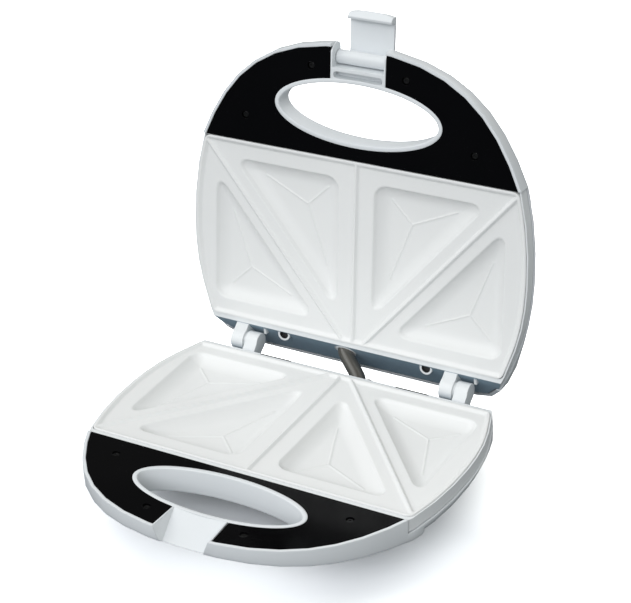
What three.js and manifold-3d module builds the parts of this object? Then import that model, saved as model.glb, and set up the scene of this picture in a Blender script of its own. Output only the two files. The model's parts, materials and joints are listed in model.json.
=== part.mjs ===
// Two-slice sandwich toaster, standing open. Millimetres, +Z up, +X to the right along the hinge,
// +Y to the rear.
// Each half is modelled face up in its own frame: y = 0 lies just behind the front edge of the
// cooking plate and z = 0 is its rim.
// The lid is the same half turned over, then swung open about the hinge axis.
import * as THREE from 'three';
import { mergeVertices } from 'three/addons/utils/BufferGeometryUtils.js';
import Module from 'manifold-3d';

const wasm = await Module();
wasm.setup();

// Clearance between touching pieces, and a length that reaches past everything
const FIT = 0.3;
const REACH = 400;
const CLIP_MARGIN = 2;

// Facets round the turned pieces and bores, by their size
const SIDES = { broad: 18, middle: 14, small: 10, fine: 8 };

// Outline of one half, seen from above
const FRONT_Y = -75.7;
const SHOULDER_X = 110.8;
const SHOULDER_Y = -1;
const FRONT_ROUND_X = 64;
const FRONT_ROUND_END = [91.5, -48.5];
const BELT_X = 118.8;
const BELT_Y = 60;
const REAR_BEND = [113.6, 103];
const REAR_Y = 152;
const REAR_CORNER_X = 80;
const REAR_CORNER_PULL = { side: 29.4, rear: 18 };
const SIDE_LEAN = 0.28;
const FRONT_STEPS = 8;
const SIDE_STEPS = 3;
const CORNER_STEPS = 4;

// Shell
const WALL = 2;
const BELT_DEPTH = 11;
const REAR_BELT_DEPTH = 26;
const HALF_DEPTH = 39.5;
const BODY_FRONT_Y = -8;
const BODY_CENTRE_Y = 64;
const REAR_BLEND_Y = 88;
const HANDLE_DEPTH = 11;
const HANDLE_SLOPE = { base: 0.09, lid: 0.05 };
const HANDLE_ROUND = 4;
const ROUND_STEPS = 2;
const SEAM_GAP = 0.8;
const BULKHEAD_T = 2.3;

// Handle hole
const HOLE_Y = -32;
const HOLE_OUTER = [57, 21.4];
const HOLE_RIM = 2;
const HOLE_STEPS = 24;

// Handle inlay and its screws
const INLAY_TOP = -0.3;
const INLAY_T = 2.2;
const INLAY_SCREWS = [[-78.9, -19.2], [-32.1, -58.7], [32.1, -58.7], [78.9, -19.2]];
const BOSS_R = 4;
const SCREW_HEAD_R = 2.3;
const SCREW_HEAD_T = 0.9;
const SCREW_SINK = 0.7;
const SCREW_SHANK_R = 1.3;
const SCREW_LENGTH = 6;

// Front notch of the base
const NOTCH_X = 17.3;
const NOTCH_FLARE = 1.2;
const NOTCH_WALL = 0.8;
const NOTCH_REAR_Y = -53;
const NOTCH_FOOT = { x: 14, y: -71.4, z: -10.4 };

// Latch bay of the lid
const BAY_X = 17.4;
const BAY_WALL = 1.2;
const BAY_RELIEF = 0.6;
const EAR_R = 9.8;
const RIB_T = 2.4;
const SCOOP_X = 16.6;
const SCOOP_DEPTH = 6.5;
const SCOOP_CORNER_R = 1.9;
const BLOCK_REAR_Y = -52;

// Latch
const LATCH_Y = -65;
const LATCH_Z = -8.5;
const LATCH_WIDTH = 30;
const BARREL_R = 4.4;
const LATCH_WEB = 3.3;
const LATCH_STANDOFF = 10.6;
const LATCH_T = 2.2;
const HOOK_GAP = 22.2;
const HOOK_T = 5.6;
const HOOK_LIP = 4.6;
const HOOK_ARCH = 1.8;
const LATCH_PIN_R = 1.3;
const LATCH_SWING = 90;

// Cooking plate
const PLATE_INSET = 2.2;
const PLATE_FRONT_Y = -1.2;
const PLATE_REAR_Y = 124.5;
const PLATE_CORNER_R = 3.5;
const LAND_Z = -1.7;
const PLATE_WALL = 2;
const RIM_CREST = 1.2;
const RIM_RUN = 2.6;
const RIDGE_FOOT = 5;
const RIDGE_CREST = 1.2;
const RIDGE_Z = -0.1;
const DIAGONAL_REAR = [7, 124];
const DIAGONAL_FRONT = [107.4, 2.5];
const POCKET_FLOOR = -7.7;
const POCKET_RUN = 9;
const POCKET_CORNER_R = 5.5;
const POCKET_SIDE_X = 11.8;
const POCKET_FRONT_Y = 11;
const POCKET_REAR_Y = 113.5;
const POCKET_OUTER_X = [102, 103.8];
const POCKET_DIAGONAL_GAP = 10.5;
const STAR_REACH = 0.57;
const STAR_WIDTH = 1.2;
const STAR_HEIGHT = 0.6;
const STUD_Y = [30, 92];
const STUD_R = 4;

// Inner frame
const BAND_INSET = 0.9;
const BAND_TOP = -0.9;
const BAND_FOOT = -9;
const FRONT_BAR = { base: 3.4, lid: 0 };
const LEDGE_T = 2.3;
const SKIRT_INSET = 3.3;
const SKIRT_T = 1.6;
const SKIRT_FOOT = -12;
const OPENING_INSET = 5.8;
const OPENING_Y = [7, 118];
const LEDGE_REAR_Y = 128.3;
const APRON_ANGLE = 43.5;
const APRON_SINK = 0.4;
const APRON_T = 2.2;
const APRON_FRONT_Y = 120;
const APRON_FOOT = -22;

// Hinge
const CLOSED_GAP = 1;
const HINGE_Y = 138.7;
const HINGE_Z = CLOSED_GAP / 2;
const OPEN_ANGLE = 93.4;
const HINGE_X = [-76.1, 76.1];
const KNUCKLE_R = 6.5;
const KNUCKLE_W = 8.8;
const ARM_R = 7.3;
const ARM_W = 10.2;
const HUB_R = 5.4;
const HUB_W = 1.3;
const STOP_RIB = { gap: 0.8, t: 1.8, run: 5, sink: 1.6 };
const LUG_NECK = 0.85;
const HINGE_PIN_R = 2;
const PIN_SINK = 1;

// Screw wells in the lid's apron
const WELL_X = [-51.8, 51.8];
const WELL_Y = 130.8;
const WELL_FACE_Z = -3.3;
const WELL_R = 4.4;
const WELL_BORE_R = 3.1;
const WELL_DEPTH = 7;
const WELL_FLOOR = 1.6;

// Interlink conduit
const CONDUIT_X = { base: 8, lid: -7.5 };
const CONDUIT_SLIDE = 8;
const CONDUIT_R = 4.8;
const CONDUIT_STUB = 10;
const CONDUIT_LEAN = 4.5;
const CONDUIT_SIDES = 10;
const CONDUIT_STEPS = 12;
const GROMMET_R = 7.4;
const GROMMET_FLANGE_R = 8.5;
const GROMMET_FLANGE_T = 1.2;

// Heating
const HEATER_R = 3.2;
const HEATER_ROUTE = [[18, 108], [40, 104], [76, 97], [87, 66], [70, 32], [36, 14], [0, 12]];
const HEATER_STEPS = 20;
const HEATER_SIDES = 5;
const REFLECTOR_T = 0.8;
const REFLECTOR_INSET = 16;
const REFLECTOR_LIP = 4;
const CLAMP_HEAD_R = 4;
const CLAMP_HEAD_T = 2;
const CLAMP_SHANK_R = 1.6;
const CLAMP_LENGTH = 9;
const THERMOSTAT = { y: 62, r: 8.5, h: 9, capR: 5, capH: 3 };
const FUSE = { x: 34, y: 70, r: 2.2, length: 14, wireR: 0.7, wire: 8 };
const TERMINALS = { x: -36, y: 80, width: 34, depth: 12, height: 11, ways: 3, screwR: 2.2 };

// Feet, gland and lamps
const FOOT_X = 78;
const FOOT_Y = [32, 112];
const FOOT_R = 8;
const FOOT_H = 4;
const FOOT_SEAT = 1.4;
const LEG_R = 10;
const LEG_DROP = 0.6;
const LEG_SHARE = 0.42;
const GLAND_BOSS_R = 8.5;
const GLAND_BOSS_LENGTH = 16;
const GLAND_Z = GLAND_BOSS_R - HALF_DEPTH;
const GLAND_FACE_Y = 152.4;
const GLAND_R = 5.2;
const GLAND_BORE_R = 3.6;
const GLAND_FLANGE_R = 7.6;
const GLAND_FLANGE_T = 2.4;
const GLAND_LENGTH = 15;
const LAMP_X = [-11, 11];
const LAMP_Y = 44;
const LENS_R = 4;
const LENS_PROUD = 1.2;
const LAMP_R = 2.6;
const LAMP_LENGTH = 12;
const VENTS = { count: 7, pitch: 8, width: 2.4, y: [38, 60] };
const LEDGE_SLOT = { x: [38, 61], y: [126.7, 127.7], depth: 1 };

const rad = THREE.MathUtils.degToRad;
const { lerp, smoothstep } = THREE.MathUtils;

// Outline helpers. Every outline is a counter-clockwise list of [x, y] points.
const mirrored = (points) => points.map(([x, y]) => [-x, y]).reverse();

function inset(points, distance) {
  return points.map(([x, y], i) => {
    const before = points[(i + points.length - 1) % points.length];
    const after = points[(i + 1) % points.length];
    const inLength = Math.hypot(x - before[0], y - before[1]);
    const outLength = Math.hypot(after[0] - x, after[1] - y);
    const n1 = [(y - before[1]) / inLength, (before[0] - x) / inLength];
    const n2 = [(after[1] - y) / outLength, (x - after[0]) / outLength];
    const scale = distance / (1 + n1[0] * n2[0] + n1[1] * n2[1]);
    return [x - scale * (n1[0] + n2[0]), y - scale * (n1[1] + n2[1])];
  });
}

// Keep the part of a convex outline between two values of y. Points just inside a cut are dropped,
// so that its corners have room to be rounded.
function clipBand(points, low, high) {
  const keep = (loop, limit, sign) => loop.flatMap(([x, y], i) => {
    const [nx, ny] = loop[(i + 1) % loop.length];
    const here = sign * (y - limit) >= CLIP_MARGIN;
    const next = sign * (ny - limit) >= CLIP_MARGIN;
    const t = (limit - y) / (ny - y);
    const crossing = here === next ? [] : [[x + t * (nx - x), limit]];
    return here ? [[x, y], ...crossing] : crossing;
  });
  return keep(keep(points, low, 1), high, -1);
}

// Replace each corner sharper than a gentle bend by an arc
function roundCorners(points, radius, steps = 3, bend = 35) {
  return points.flatMap(([x, y], i) => {
    const before = points[(i + points.length - 1) % points.length];
    const after = points[(i + 1) % points.length];
    const inAngle = Math.atan2(y - before[1], x - before[0]);
    const turn = THREE.MathUtils.euclideanModulo(
      Math.atan2(after[1] - y, after[0] - x) - inAngle + Math.PI, 2 * Math.PI) - Math.PI;
    if (turn < rad(bend)) return [[x, y]];
    const back = radius * Math.tan(turn / 2);
    const start = [x - back * Math.cos(inAngle), y - back * Math.sin(inAngle)];
    const centre = [start[0] - radius * Math.sin(inAngle), start[1] + radius * Math.cos(inAngle)];
    return Array.from({ length: steps + 1 }, (_, k) => {
      const angle = inAngle - Math.PI / 2 + (turn * k) / steps;
      return [centre[0] + radius * Math.cos(angle), centre[1] + radius * Math.sin(angle)];
    });
  });
}

function ellipse([a, b], cy) {
  return Array.from({ length: HOLE_STEPS }, (_, i) => {
    const t = (2 * Math.PI * i) / HOLE_STEPS;
    return [a * Math.cos(t), cy + b * Math.sin(t)];
  });
}

function ring(radius, sides) {
  return Array.from({ length: sides }, (_, i) => {
    const t = (2 * Math.PI * (i + 0.5)) / sides;
    return [radius * Math.cos(t), radius * Math.sin(t)];
  });
}

// The plan outline of one half: front arc, bulging sides, round rear corners and a straight rear
function halfOutline() {
  const p = (x, y) => new THREE.Vector2(x, y);
  const rise = (BELT_Y - SHOULDER_Y) / 3;
  const fall = (REAR_BEND[1] - BELT_Y) / 3;
  const pull = REAR_CORNER_PULL;
  const pieces = [
    [p(0, FRONT_Y), p(FRONT_ROUND_X, FRONT_Y), p(...FRONT_ROUND_END), p(SHOULDER_X, SHOULDER_Y), FRONT_STEPS],
    [p(SHOULDER_X, SHOULDER_Y), p(SHOULDER_X + rise * SIDE_LEAN, SHOULDER_Y + rise), p(BELT_X, BELT_Y - rise),
      p(BELT_X, BELT_Y), SIDE_STEPS],
    [p(BELT_X, BELT_Y), p(BELT_X, BELT_Y + fall), p(REAR_BEND[0] + fall * SIDE_LEAN, REAR_BEND[1] - fall),
      p(...REAR_BEND), SIDE_STEPS],
    [p(...REAR_BEND), p(REAR_BEND[0] - pull.side * SIDE_LEAN, REAR_BEND[1] + pull.side),
      p(REAR_CORNER_X + pull.rear, REAR_Y), p(REAR_CORNER_X, REAR_Y), CORNER_STEPS],
  ];
  const right = pieces.flatMap(([a, b, c, d, steps], k) => (
    new THREE.CubicBezierCurve(a, b, c, d).getPoints(steps).slice(k ? 1 : 0).map(({ x, y }) => [x, y])));
  return [...right, ...mirrored(right).slice(0, -1)];
}

const OUTLINE = halfOutline();

// Solid helpers
function solid(geometry) {
  const bare = geometry.clone();
  bare.deleteAttribute('normal');
  bare.deleteAttribute('uv');
  const merged = mergeVertices(bare, 1e-4);
  const at = merged.attributes.position;
  const corner = (i) => new THREE.Vector3().fromBufferAttribute(at, i);
  const triangles = [];
  let volume = 0;
  for (let i = 0; i < merged.index.count; i += 3) {
    const [a, b, c] = [0, 1, 2].map((k) => merged.index.getX(i + k));
    if (a === b || b === c || c === a) continue;
    triangles.push([a, b, c]);
    volume += corner(a).dot(corner(b).cross(corner(c)));
  }
  const outward = volume < 0 ? triangles.map(([a, b, c]) => [a, c, b]) : triangles;
  return new wasm.Manifold(new wasm.Mesh({
    numProp: 3,
    vertProperties: new Float32Array(at.array),
    triVerts: new Uint32Array(outward.flat()),
  }));
}

function toGeometry(body) {
  const mesh = body.getMesh();
  const geometry = new THREE.BufferGeometry();
  geometry.setAttribute('position', new THREE.BufferAttribute(mesh.vertProperties, 3));
  geometry.setIndex(new THREE.BufferAttribute(mesh.triVerts, 1));
  geometry.computeVertexNormals();
  return geometry;
}

const union = (bodies) => bodies.reduce((sum, body) => sum.add(body));
const cut = (body, tools) => tools.reduce((left, tool) => left.subtract(tool), body);
const toShape = (points) => new THREE.Shape(points.map(([x, y]) => new THREE.Vector2(x, y)));

function extrusion(points, depth) {
  return new THREE.ExtrudeGeometry(toShape(points), { depth, bevelEnabled: false, curveSegments: 1 });
}

function prism(points, low, high) {
  return solid(extrusion(points, high - low).translate(0, 0, low));
}

function box([x0, x1], [y0, y1], [z0, z1]) {
  const geometry = new THREE.BoxGeometry(x1 - x0, y1 - y0, z1 - z0);
  return solid(geometry.translate((x0 + x1) / 2, (y0 + y1) / 2, (z0 + z1) / 2));
}

// A profile drawn in the side view as [y, z] points, carried along X
function sideExtrusion(profile, x0, x1) {
  const turn = new THREE.Matrix4().makeBasis(
    new THREE.Vector3(0, 1, 0),
    new THREE.Vector3(0, 0, 1),
    new THREE.Vector3(1, 0, 0),
  );
  return solid(extrusion(profile, x1 - x0).applyMatrix4(turn).translate(x0, 0, 0));
}

function rodX(radius, [x0, x1], y, z, sides = SIDES.broad) {
  const geometry = new THREE.CylinderGeometry(radius, radius, x1 - x0, sides);
  return solid(geometry.rotateZ(Math.PI / 2).translate((x0 + x1) / 2, y, z));
}

function rodY(radius, x, [y0, y1], z, sides = SIDES.broad) {
  const geometry = new THREE.CylinderGeometry(radius, radius, y1 - y0, sides);
  return solid(geometry.translate(x, (y0 + y1) / 2, z));
}

function rodZ(radius, x, y, [z0, z1], sides = SIDES.broad) {
  const geometry = new THREE.CylinderGeometry(radius, radius, z1 - z0, sides);
  return solid(geometry.rotateX(Math.PI / 2).translate(x, y, (z0 + z1) / 2));
}

// A turned piece on the Z axis, from [radius, z] points
function turned(profile, sides = SIDES.broad) {
  const points = profile.map(([r, z]) => new THREE.Vector2(r, z));
  return new THREE.LatheGeometry(points, sides).rotateX(Math.PI / 2);
}

// A closed skin over rings of equally many points. The caps are flat in the two axes named.
function loft(rings, axes = [0, 1]) {
  const count = rings[0].length;
  const index = [];
  for (let k = 0; k + 1 < rings.length; k += 1) {
    for (let i = 0; i < count; i += 1) {
      const a = k * count + i;
      const b = k * count + ((i + 1) % count);
      index.push(a, b, b + count, a, b + count, a + count);
    }
  }
  const cap = (ring) => THREE.ShapeUtils.triangulateShape(
    ring.map((point) => new THREE.Vector2(point[axes[0]], point[axes[1]])), []);
  const last = (rings.length - 1) * count;
  for (const [a, b, c] of cap(rings[0])) index.push(a, c, b);
  for (const [a, b, c] of cap(rings[rings.length - 1])) index.push(last + a, last + b, last + c);
  const geometry = new THREE.BufferGeometry();
  geometry.setAttribute('position', new THREE.BufferAttribute(new Float32Array(rings.flat(2)), 3));
  geometry.setIndex(index);
  return solid(geometry);
}

const atHeight = (points, z) => points.map(([x, y]) => [x, y, z]);

// Skins of the shell. Each profile is [distance in from the outline, share of the way from belt to bottom].
const SIDE_PROFILE = [[0, 0], [2, 0.16], [14, 0.51], [30, 0.86], [47, 1]];
const REAR_PROFILE = [[0, 0], [3, 0.36], [11, 0.71], [24, 0.95], [47, 1]];

function bodySkin(thickness) {
  const plan = OUTLINE.map(([x, y]) => [x, Math.max(y, BODY_FRONT_Y)]);
  const halfLength = (REAR_Y - BODY_FRONT_Y) / 2;
  const levels = SIDE_PROFILE.map((side, k) => [side, REAR_PROFILE[k]]);
  const chosen = thickness ? levels.filter((_, k) => k % 2 === 0) : levels;
  const rings = chosen.map(([[sideIn, sideDown], [rearIn, rearDown]]) => plan.map(([x, y]) => {
    const share = smoothstep(y, REAR_BLEND_Y, REAR_Y);
    const d = thickness + lerp(sideIn, rearIn, share);
    const sideDepth = lerp(BELT_DEPTH, HALF_DEPTH, sideDown);
    const rearDepth = lerp(REAR_BELT_DEPTH, HALF_DEPTH, rearDown);
    const z = thickness - lerp(sideDepth, rearDepth, share);
    return [x * (1 - d / BELT_X), BODY_CENTRE_Y + (y - BODY_CENTRE_Y) * (1 - d / halfLength), z];
  }));
  const top = rings[0].map(([x, y]) => [x, y, WALL]);
  return loft([...rings.reverse(), top]);
}

function handleSkin(thickness, slope) {
  const depthAt = (y) => HANDLE_DEPTH + slope * (y - FRONT_Y);
  const steps = thickness ? 1 : ROUND_STEPS;
  const levels = Array.from({ length: steps + 1 }, (_, k) => {
    const angle = (Math.PI / 2) * (k / steps);
    const distance = thickness + HANDLE_ROUND * (1 - Math.sin(angle));
    const lift = thickness + HANDLE_ROUND * (1 - Math.cos(angle));
    return inset(OUTLINE, distance).map(([x, y]) => [x, y, lift - depthAt(y)]);
  });
  const skin = loft([...levels, atHeight(inset(OUTLINE, thickness), WALL)]);
  return skin.intersect(box([-REACH, REACH], [-REACH, -BODY_FRONT_Y], [-REACH, REACH]));
}

// The space above the sloping rear face, lowered square to the face by a distance
function aboveApron(sink) {
  const slope = rad(APRON_ANGLE);
  const edgeZ = BAND_TOP - sink / Math.cos(slope);
  const run = REACH * Math.cos(slope);
  const fall = REACH * Math.sin(slope);
  return sideExtrusion([
    [LEDGE_REAR_Y - run, edgeZ + fall],
    [LEDGE_REAR_Y + run, edgeZ - fall],
    [LEDGE_REAR_Y + run, REACH],
    [LEDGE_REAR_Y - run, REACH],
  ], -REACH, REACH);
}

// Where a distance slid down the sloping face and lifted off it leads, as [y, z]
function onApron(slide, lift = 0) {
  const slope = rad(APRON_ANGLE);
  return [
    LEDGE_REAR_Y + slide * Math.cos(slope) + lift * Math.sin(slope),
    BAND_TOP - slide * Math.sin(slope) + lift * Math.cos(slope),
  ];
}

function standOnApron(geometry, x, slide) {
  const [y, z] = onApron(slide);
  return geometry.clone().rotateX(-rad(APRON_ANGLE)).translate(x, y, z);
}

// Front edges of frame and inlay, which differ by the bar in front of the base's plate
const frameFrontY = (isBase) => PLATE_FRONT_Y - FIT - (isBase ? FRONT_BAR.base : FRONT_BAR.lid);
const inlayRearY = (isBase) => frameFrontY(isBase) - FIT;

// Handle inlay
const INLAY_FOOT = INLAY_TOP - INLAY_T;

function inlay(isBase, notchX, notchFlare) {
  const edge = clipBand(inset(OUTLINE, WALL + FIT), -REACH, inlayRearY(isBase));
  const notch = [
    [-notchX - notchFlare, FRONT_Y],
    [notchX + notchFlare, FRONT_Y],
    [notchX, HOLE_Y],
    [-notchX, HOLE_Y],
  ];
  const hole = ellipse(HOLE_OUTER.map((r) => r + FIT), HOLE_Y);
  const headFloor = INLAY_TOP - SCREW_SINK - SCREW_HEAD_T - FIT;
  const screwHoles = INLAY_SCREWS.flatMap(([x, y]) => [
    rodZ(SCREW_HEAD_R + FIT, x, y, [headFloor, 1], SIDES.small),
    rodZ(SCREW_SHANK_R + FIT, x, y, [INLAY_FOOT - 1, 1], SIDES.fine),
  ]);
  return cut(prism(edge, INLAY_FOOT, INLAY_TOP), [
    prism(notch, -REACH, REACH),
    prism(hole, -REACH, REACH),
    ...screwHoles,
  ]);
}

function inlayScrew([x, y]) {
  const top = INLAY_TOP - SCREW_SINK;
  const foot = top - SCREW_HEAD_T;
  return solid(turned([
    [0, foot - SCREW_LENGTH],
    [SCREW_SHANK_R * 0.5, foot - SCREW_LENGTH],
    [SCREW_SHANK_R, foot - SCREW_LENGTH + 1],
    [SCREW_SHANK_R, foot],
    [SCREW_HEAD_R, foot],
    [SCREW_HEAD_R, top - 0.3],
    [SCREW_HEAD_R - 0.4, top],
    [0.9, top],
    [0.7, top - 0.4],
    [0, top - 0.4],
  ], SIDES.fine).translate(x, y, 0));
}

// Shell
function seatFloor() {
  return INLAY_FOOT - FIT;
}

function centreBlock(halfWidth, flare) {
  return prism([
    [-halfWidth - flare, FRONT_Y - 1],
    [halfWidth + flare, FRONT_Y - 1],
    [halfWidth, BLOCK_REAR_Y],
    [-halfWidth, BLOCK_REAR_Y],
  ], -REACH, 0);
}

function notchSpace() {
  const ahead = (NOTCH_REAR_Y - FRONT_Y + 8) / (NOTCH_REAR_Y - NOTCH_FOOT.y);
  const frontY = NOTCH_REAR_Y + (NOTCH_FOOT.y - NOTCH_REAR_Y) * ahead;
  const footX = lerp(NOTCH_X, NOTCH_FOOT.x, ahead);
  const footZ = NOTCH_FOOT.z * ahead;
  const topX = NOTCH_X + NOTCH_FLARE;
  const front = [[-footX, footZ], [footX, footZ], [topX, 0], [topX, 1], [-topX, 1], [-topX, 0]];
  const rear = [[-NOTCH_X, -0.1], [NOTCH_X, -0.1], [NOTCH_X, 0], [NOTCH_X, 1], [-NOTCH_X, 1], [-NOTCH_X, 0]];
  const upright = (points, y) => points.map(([x, z]) => [x, y, z]);
  return loft([upright(front, frontY), upright(rear, NOTCH_REAR_Y)], [0, 2]);
}

const BAY_REAR_Y = LATCH_Y + BARREL_R + BAY_RELIEF;

function latchSpaces() {
  const scoopY = [BAY_REAR_Y + RIB_T, HOLE_Y - HOLE_OUTER[1]];
  const earX = [-BAY_X - BAY_WALL, BAY_X + BAY_WALL];
  const corners = [[-SCOOP_X, scoopY[0]], [SCOOP_X, scoopY[0]], [SCOOP_X, scoopY[1]], [-SCOOP_X, scoopY[1]]];
  return [
    box([-BAY_X, BAY_X], [FRONT_Y - 6, BAY_REAR_Y], [-REACH, REACH]),
    prism(roundCorners(corners, SCOOP_CORNER_R), -SCOOP_DEPTH, 1),
    rodX(LATCH_PIN_R + FIT, [earX[0] - 1, earX[1] + 1], LATCH_Y, LATCH_Z, SIDES.small),
    box(earX, [FRONT_Y - 6, LATCH_Y], [LATCH_Z, 1]).subtract(rodX(EAR_R, earX, LATCH_Y, LATCH_Z, 32)),
  ];
}

function legs() {
  return [-FOOT_X, FOOT_X].flatMap((x) => FOOT_Y.map((y) => (
    rodZ(LEG_R, x, y, [-HALF_DEPTH - LEG_DROP, -lerp(BELT_DEPTH, HALF_DEPTH, LEG_SHARE)], SIDES.broad))));
}

function footSeats() {
  const low = -HALF_DEPTH - LEG_DROP;
  return [-FOOT_X, FOOT_X].flatMap((x) => FOOT_Y.map((y) => (
    rodZ(FOOT_R + FIT, x, y, [low - 1, low + FOOT_SEAT], SIDES.middle))));
}

function glandBoss() {
  return rodY(GLAND_BOSS_R, 0, [GLAND_FACE_Y - GLAND_BOSS_LENGTH, GLAND_FACE_Y], GLAND_Z);
}

function lensBores() {
  return LAMP_X.map((x) => rodZ(LENS_R + FIT, x, LAMP_Y, [-HALF_DEPTH - 1, -HALF_DEPTH + WALL + 1]));
}

// Slots in the bottom of the base that let warm air out
function vents() {
  const floor = [-HALF_DEPTH - 1, -HALF_DEPTH + WALL + 1];
  return Array.from({ length: VENTS.count }, (_, i) => {
    const x = (i - (VENTS.count - 1) / 2) * VENTS.pitch;
    return box([x - VENTS.width / 2, x + VENTS.width / 2], VENTS.y, floor);
  });
}

function shell(isBase) {
  const slope = isBase ? HANDLE_SLOPE.base : HANDLE_SLOPE.lid;
  const rearY = inlayRearY(isBase);
  const outer = handleSkin(0, slope).add(bodySkin(0));
  const inner = handleSkin(WALL, slope).add(bodySkin(WALL));
  const holeWall = prism(ellipse(HOLE_OUTER, HOLE_Y), -REACH, 0);
  const bulkhead = box([-REACH, REACH], [rearY - BULKHEAD_T, rearY], [-REACH, seatFloor()]);
  const bosses = INLAY_SCREWS.map(([x, y]) => rodZ(BOSS_R, x, y, [-REACH / 4, seatFloor()], SIDES.small));
  const block = isBase ? centreBlock(NOTCH_X + NOTCH_WALL, NOTCH_FLARE) : centreBlock(BAY_X + BAY_WALL, 0);
  const inside = union([holeWall, bulkhead, block, ...bosses]).intersect(outer);
  let body = outer.subtract(inner).add(inside);
  if (isBase) body = union([body, ...[...legs(), glandBoss()].map((piece) => piece.subtract(inner))]);
  const shankFloor = INLAY_TOP - SCREW_SINK - SCREW_HEAD_T - SCREW_LENGTH - 1;
  return cut(body, [
    box([-REACH, REACH], [-REACH, REACH], [0, REACH]),
    box([-REACH, REACH], [rearY, REACH], [BAND_FOOT - SEAM_GAP, REACH]),
    aboveApron(0),
    prism(ellipse(HOLE_OUTER.map((r) => r - HOLE_RIM), HOLE_Y), -REACH, REACH),
    ...INLAY_SCREWS.map(([x, y]) => rodZ(SCREW_SHANK_R + FIT, x, y, [shankFloor, 1], SIDES.fine)),
    ...(isBase ? [notchSpace(), ...footSeats(), glandBore(), ...vents()] : latchSpaces()),
    ...(isBase ? [] : lensBores()),
  ]);
}

// Frame between plate and shell
const FLANGE_FOOT = LAND_Z - PLATE_WALL;
const LEDGE_Z = FLANGE_FOOT - FIT;

function platePlan(grow = 0) {
  const plan = clipBand(inset(OUTLINE, PLATE_INSET - grow), PLATE_FRONT_Y - grow, PLATE_REAR_Y + grow);
  return roundCorners(plan, Math.max(PLATE_CORNER_R + grow, PLATE_CORNER_R / 4));
}

function lug(radius, [x0, x1]) {
  const slope = rad(APRON_ANGLE);
  const [footY, footZ] = [-Math.sin(slope), -Math.cos(slope)];
  const half = radius * LUG_NECK;
  const reach = (HINGE_Y - LEDGE_REAR_Y) * Math.sin(slope) + (HINGE_Z - BAND_TOP) * Math.cos(slope);
  const depth = reach + APRON_SINK + APRON_T / 2;
  const neck = [
    [HINGE_Y + half * footZ, HINGE_Z - half * footY],
    [HINGE_Y - half * footZ, HINGE_Z + half * footY],
    [HINGE_Y - half * footZ + depth * footY, HINGE_Z + half * footY + depth * footZ],
    [HINGE_Y + half * footZ + depth * footY, HINGE_Z - half * footY + depth * footZ],
  ];
  return rodX(radius, [x0, x1], HINGE_Y, HINGE_Z, SIDES.broad).add(sideExtrusion(neck, x0, x1));
}

// Where arm and knuckle of a hinge lie along X, in the upright toaster
const armSpan = (x) => [x - FIT / 2 - ARM_W, x - FIT / 2];
const knuckleSpan = (x) => [x + FIT / 2, x + FIT / 2 + KNUCKLE_W];
const turnedOver = ([x0, x1]) => [-x1, -x0];

function hingeBore([x0, x1]) {
  return rodX(HINGE_PIN_R + FIT, [x0, x1], HINGE_Y, HINGE_Z, SIDES.middle);
}

function grommetBore(x) {
  const foot = -APRON_SINK - APRON_T;
  const bore = turned([[0, -REACH / 8], [GROMMET_FLANGE_R + FIT, -REACH / 8],
    [GROMMET_FLANGE_R + FIT, foot], [GROMMET_R + FIT, foot], [GROMMET_R + FIT, 2], [0, 2]]);
  return solid(standOnApron(bore, x, CONDUIT_SLIDE));
}

const WELL_BED_Z = WELL_FACE_Z - WELL_DEPTH;

function wellBoss(x) {
  return rodZ(WELL_R, x, WELL_Y, [WELL_BED_Z - WELL_FLOOR, WELL_FACE_Z], SIDES.broad);
}

// The bore of a well, and the space over its face as far as the edge of the ledge
function wellSpace(x) {
  const face = rodZ(WELL_R, x, WELL_Y, [WELL_FACE_Z, 1], SIDES.broad)
    .intersect(box([-REACH, REACH], [LEDGE_REAR_Y + FIT, REACH], [-REACH, REACH]));
  const bore = rodZ(WELL_BORE_R, x, WELL_Y, [WELL_BED_Z, WELL_FACE_Z + FIT], SIDES.middle);
  return union([face, bore, rodZ(SCREW_SHANK_R + FIT, x, WELL_Y, [-REACH / 8, WELL_BED_Z + 1], SIDES.fine)]);
}

// A stop rib of the lid beside each knuckle, and a slot along the ledge of the base
function stopRib(knuckle) {
  const low = knuckle[0] - STOP_RIB.gap - STOP_RIB.t;
  const [y0, z0] = onApron(-1);
  const [y1, z1] = onApron(STOP_RIB.run / Math.cos(rad(APRON_ANGLE)));
  const drop = APRON_SINK + APRON_T / 2;
  return sideExtrusion([[y0, z0 - 2 * drop], [y1, z1 - drop], [y1, BAND_TOP - STOP_RIB.sink],
    [y0, BAND_TOP - APRON_SINK]], low, low + STOP_RIB.t);
}

function ledgeSlots() {
  const { x, y, depth } = LEDGE_SLOT;
  return [x, [-x[1], -x[0]]].map((span) => box(span, y, [BAND_TOP - depth, REACH]));
}

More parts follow.
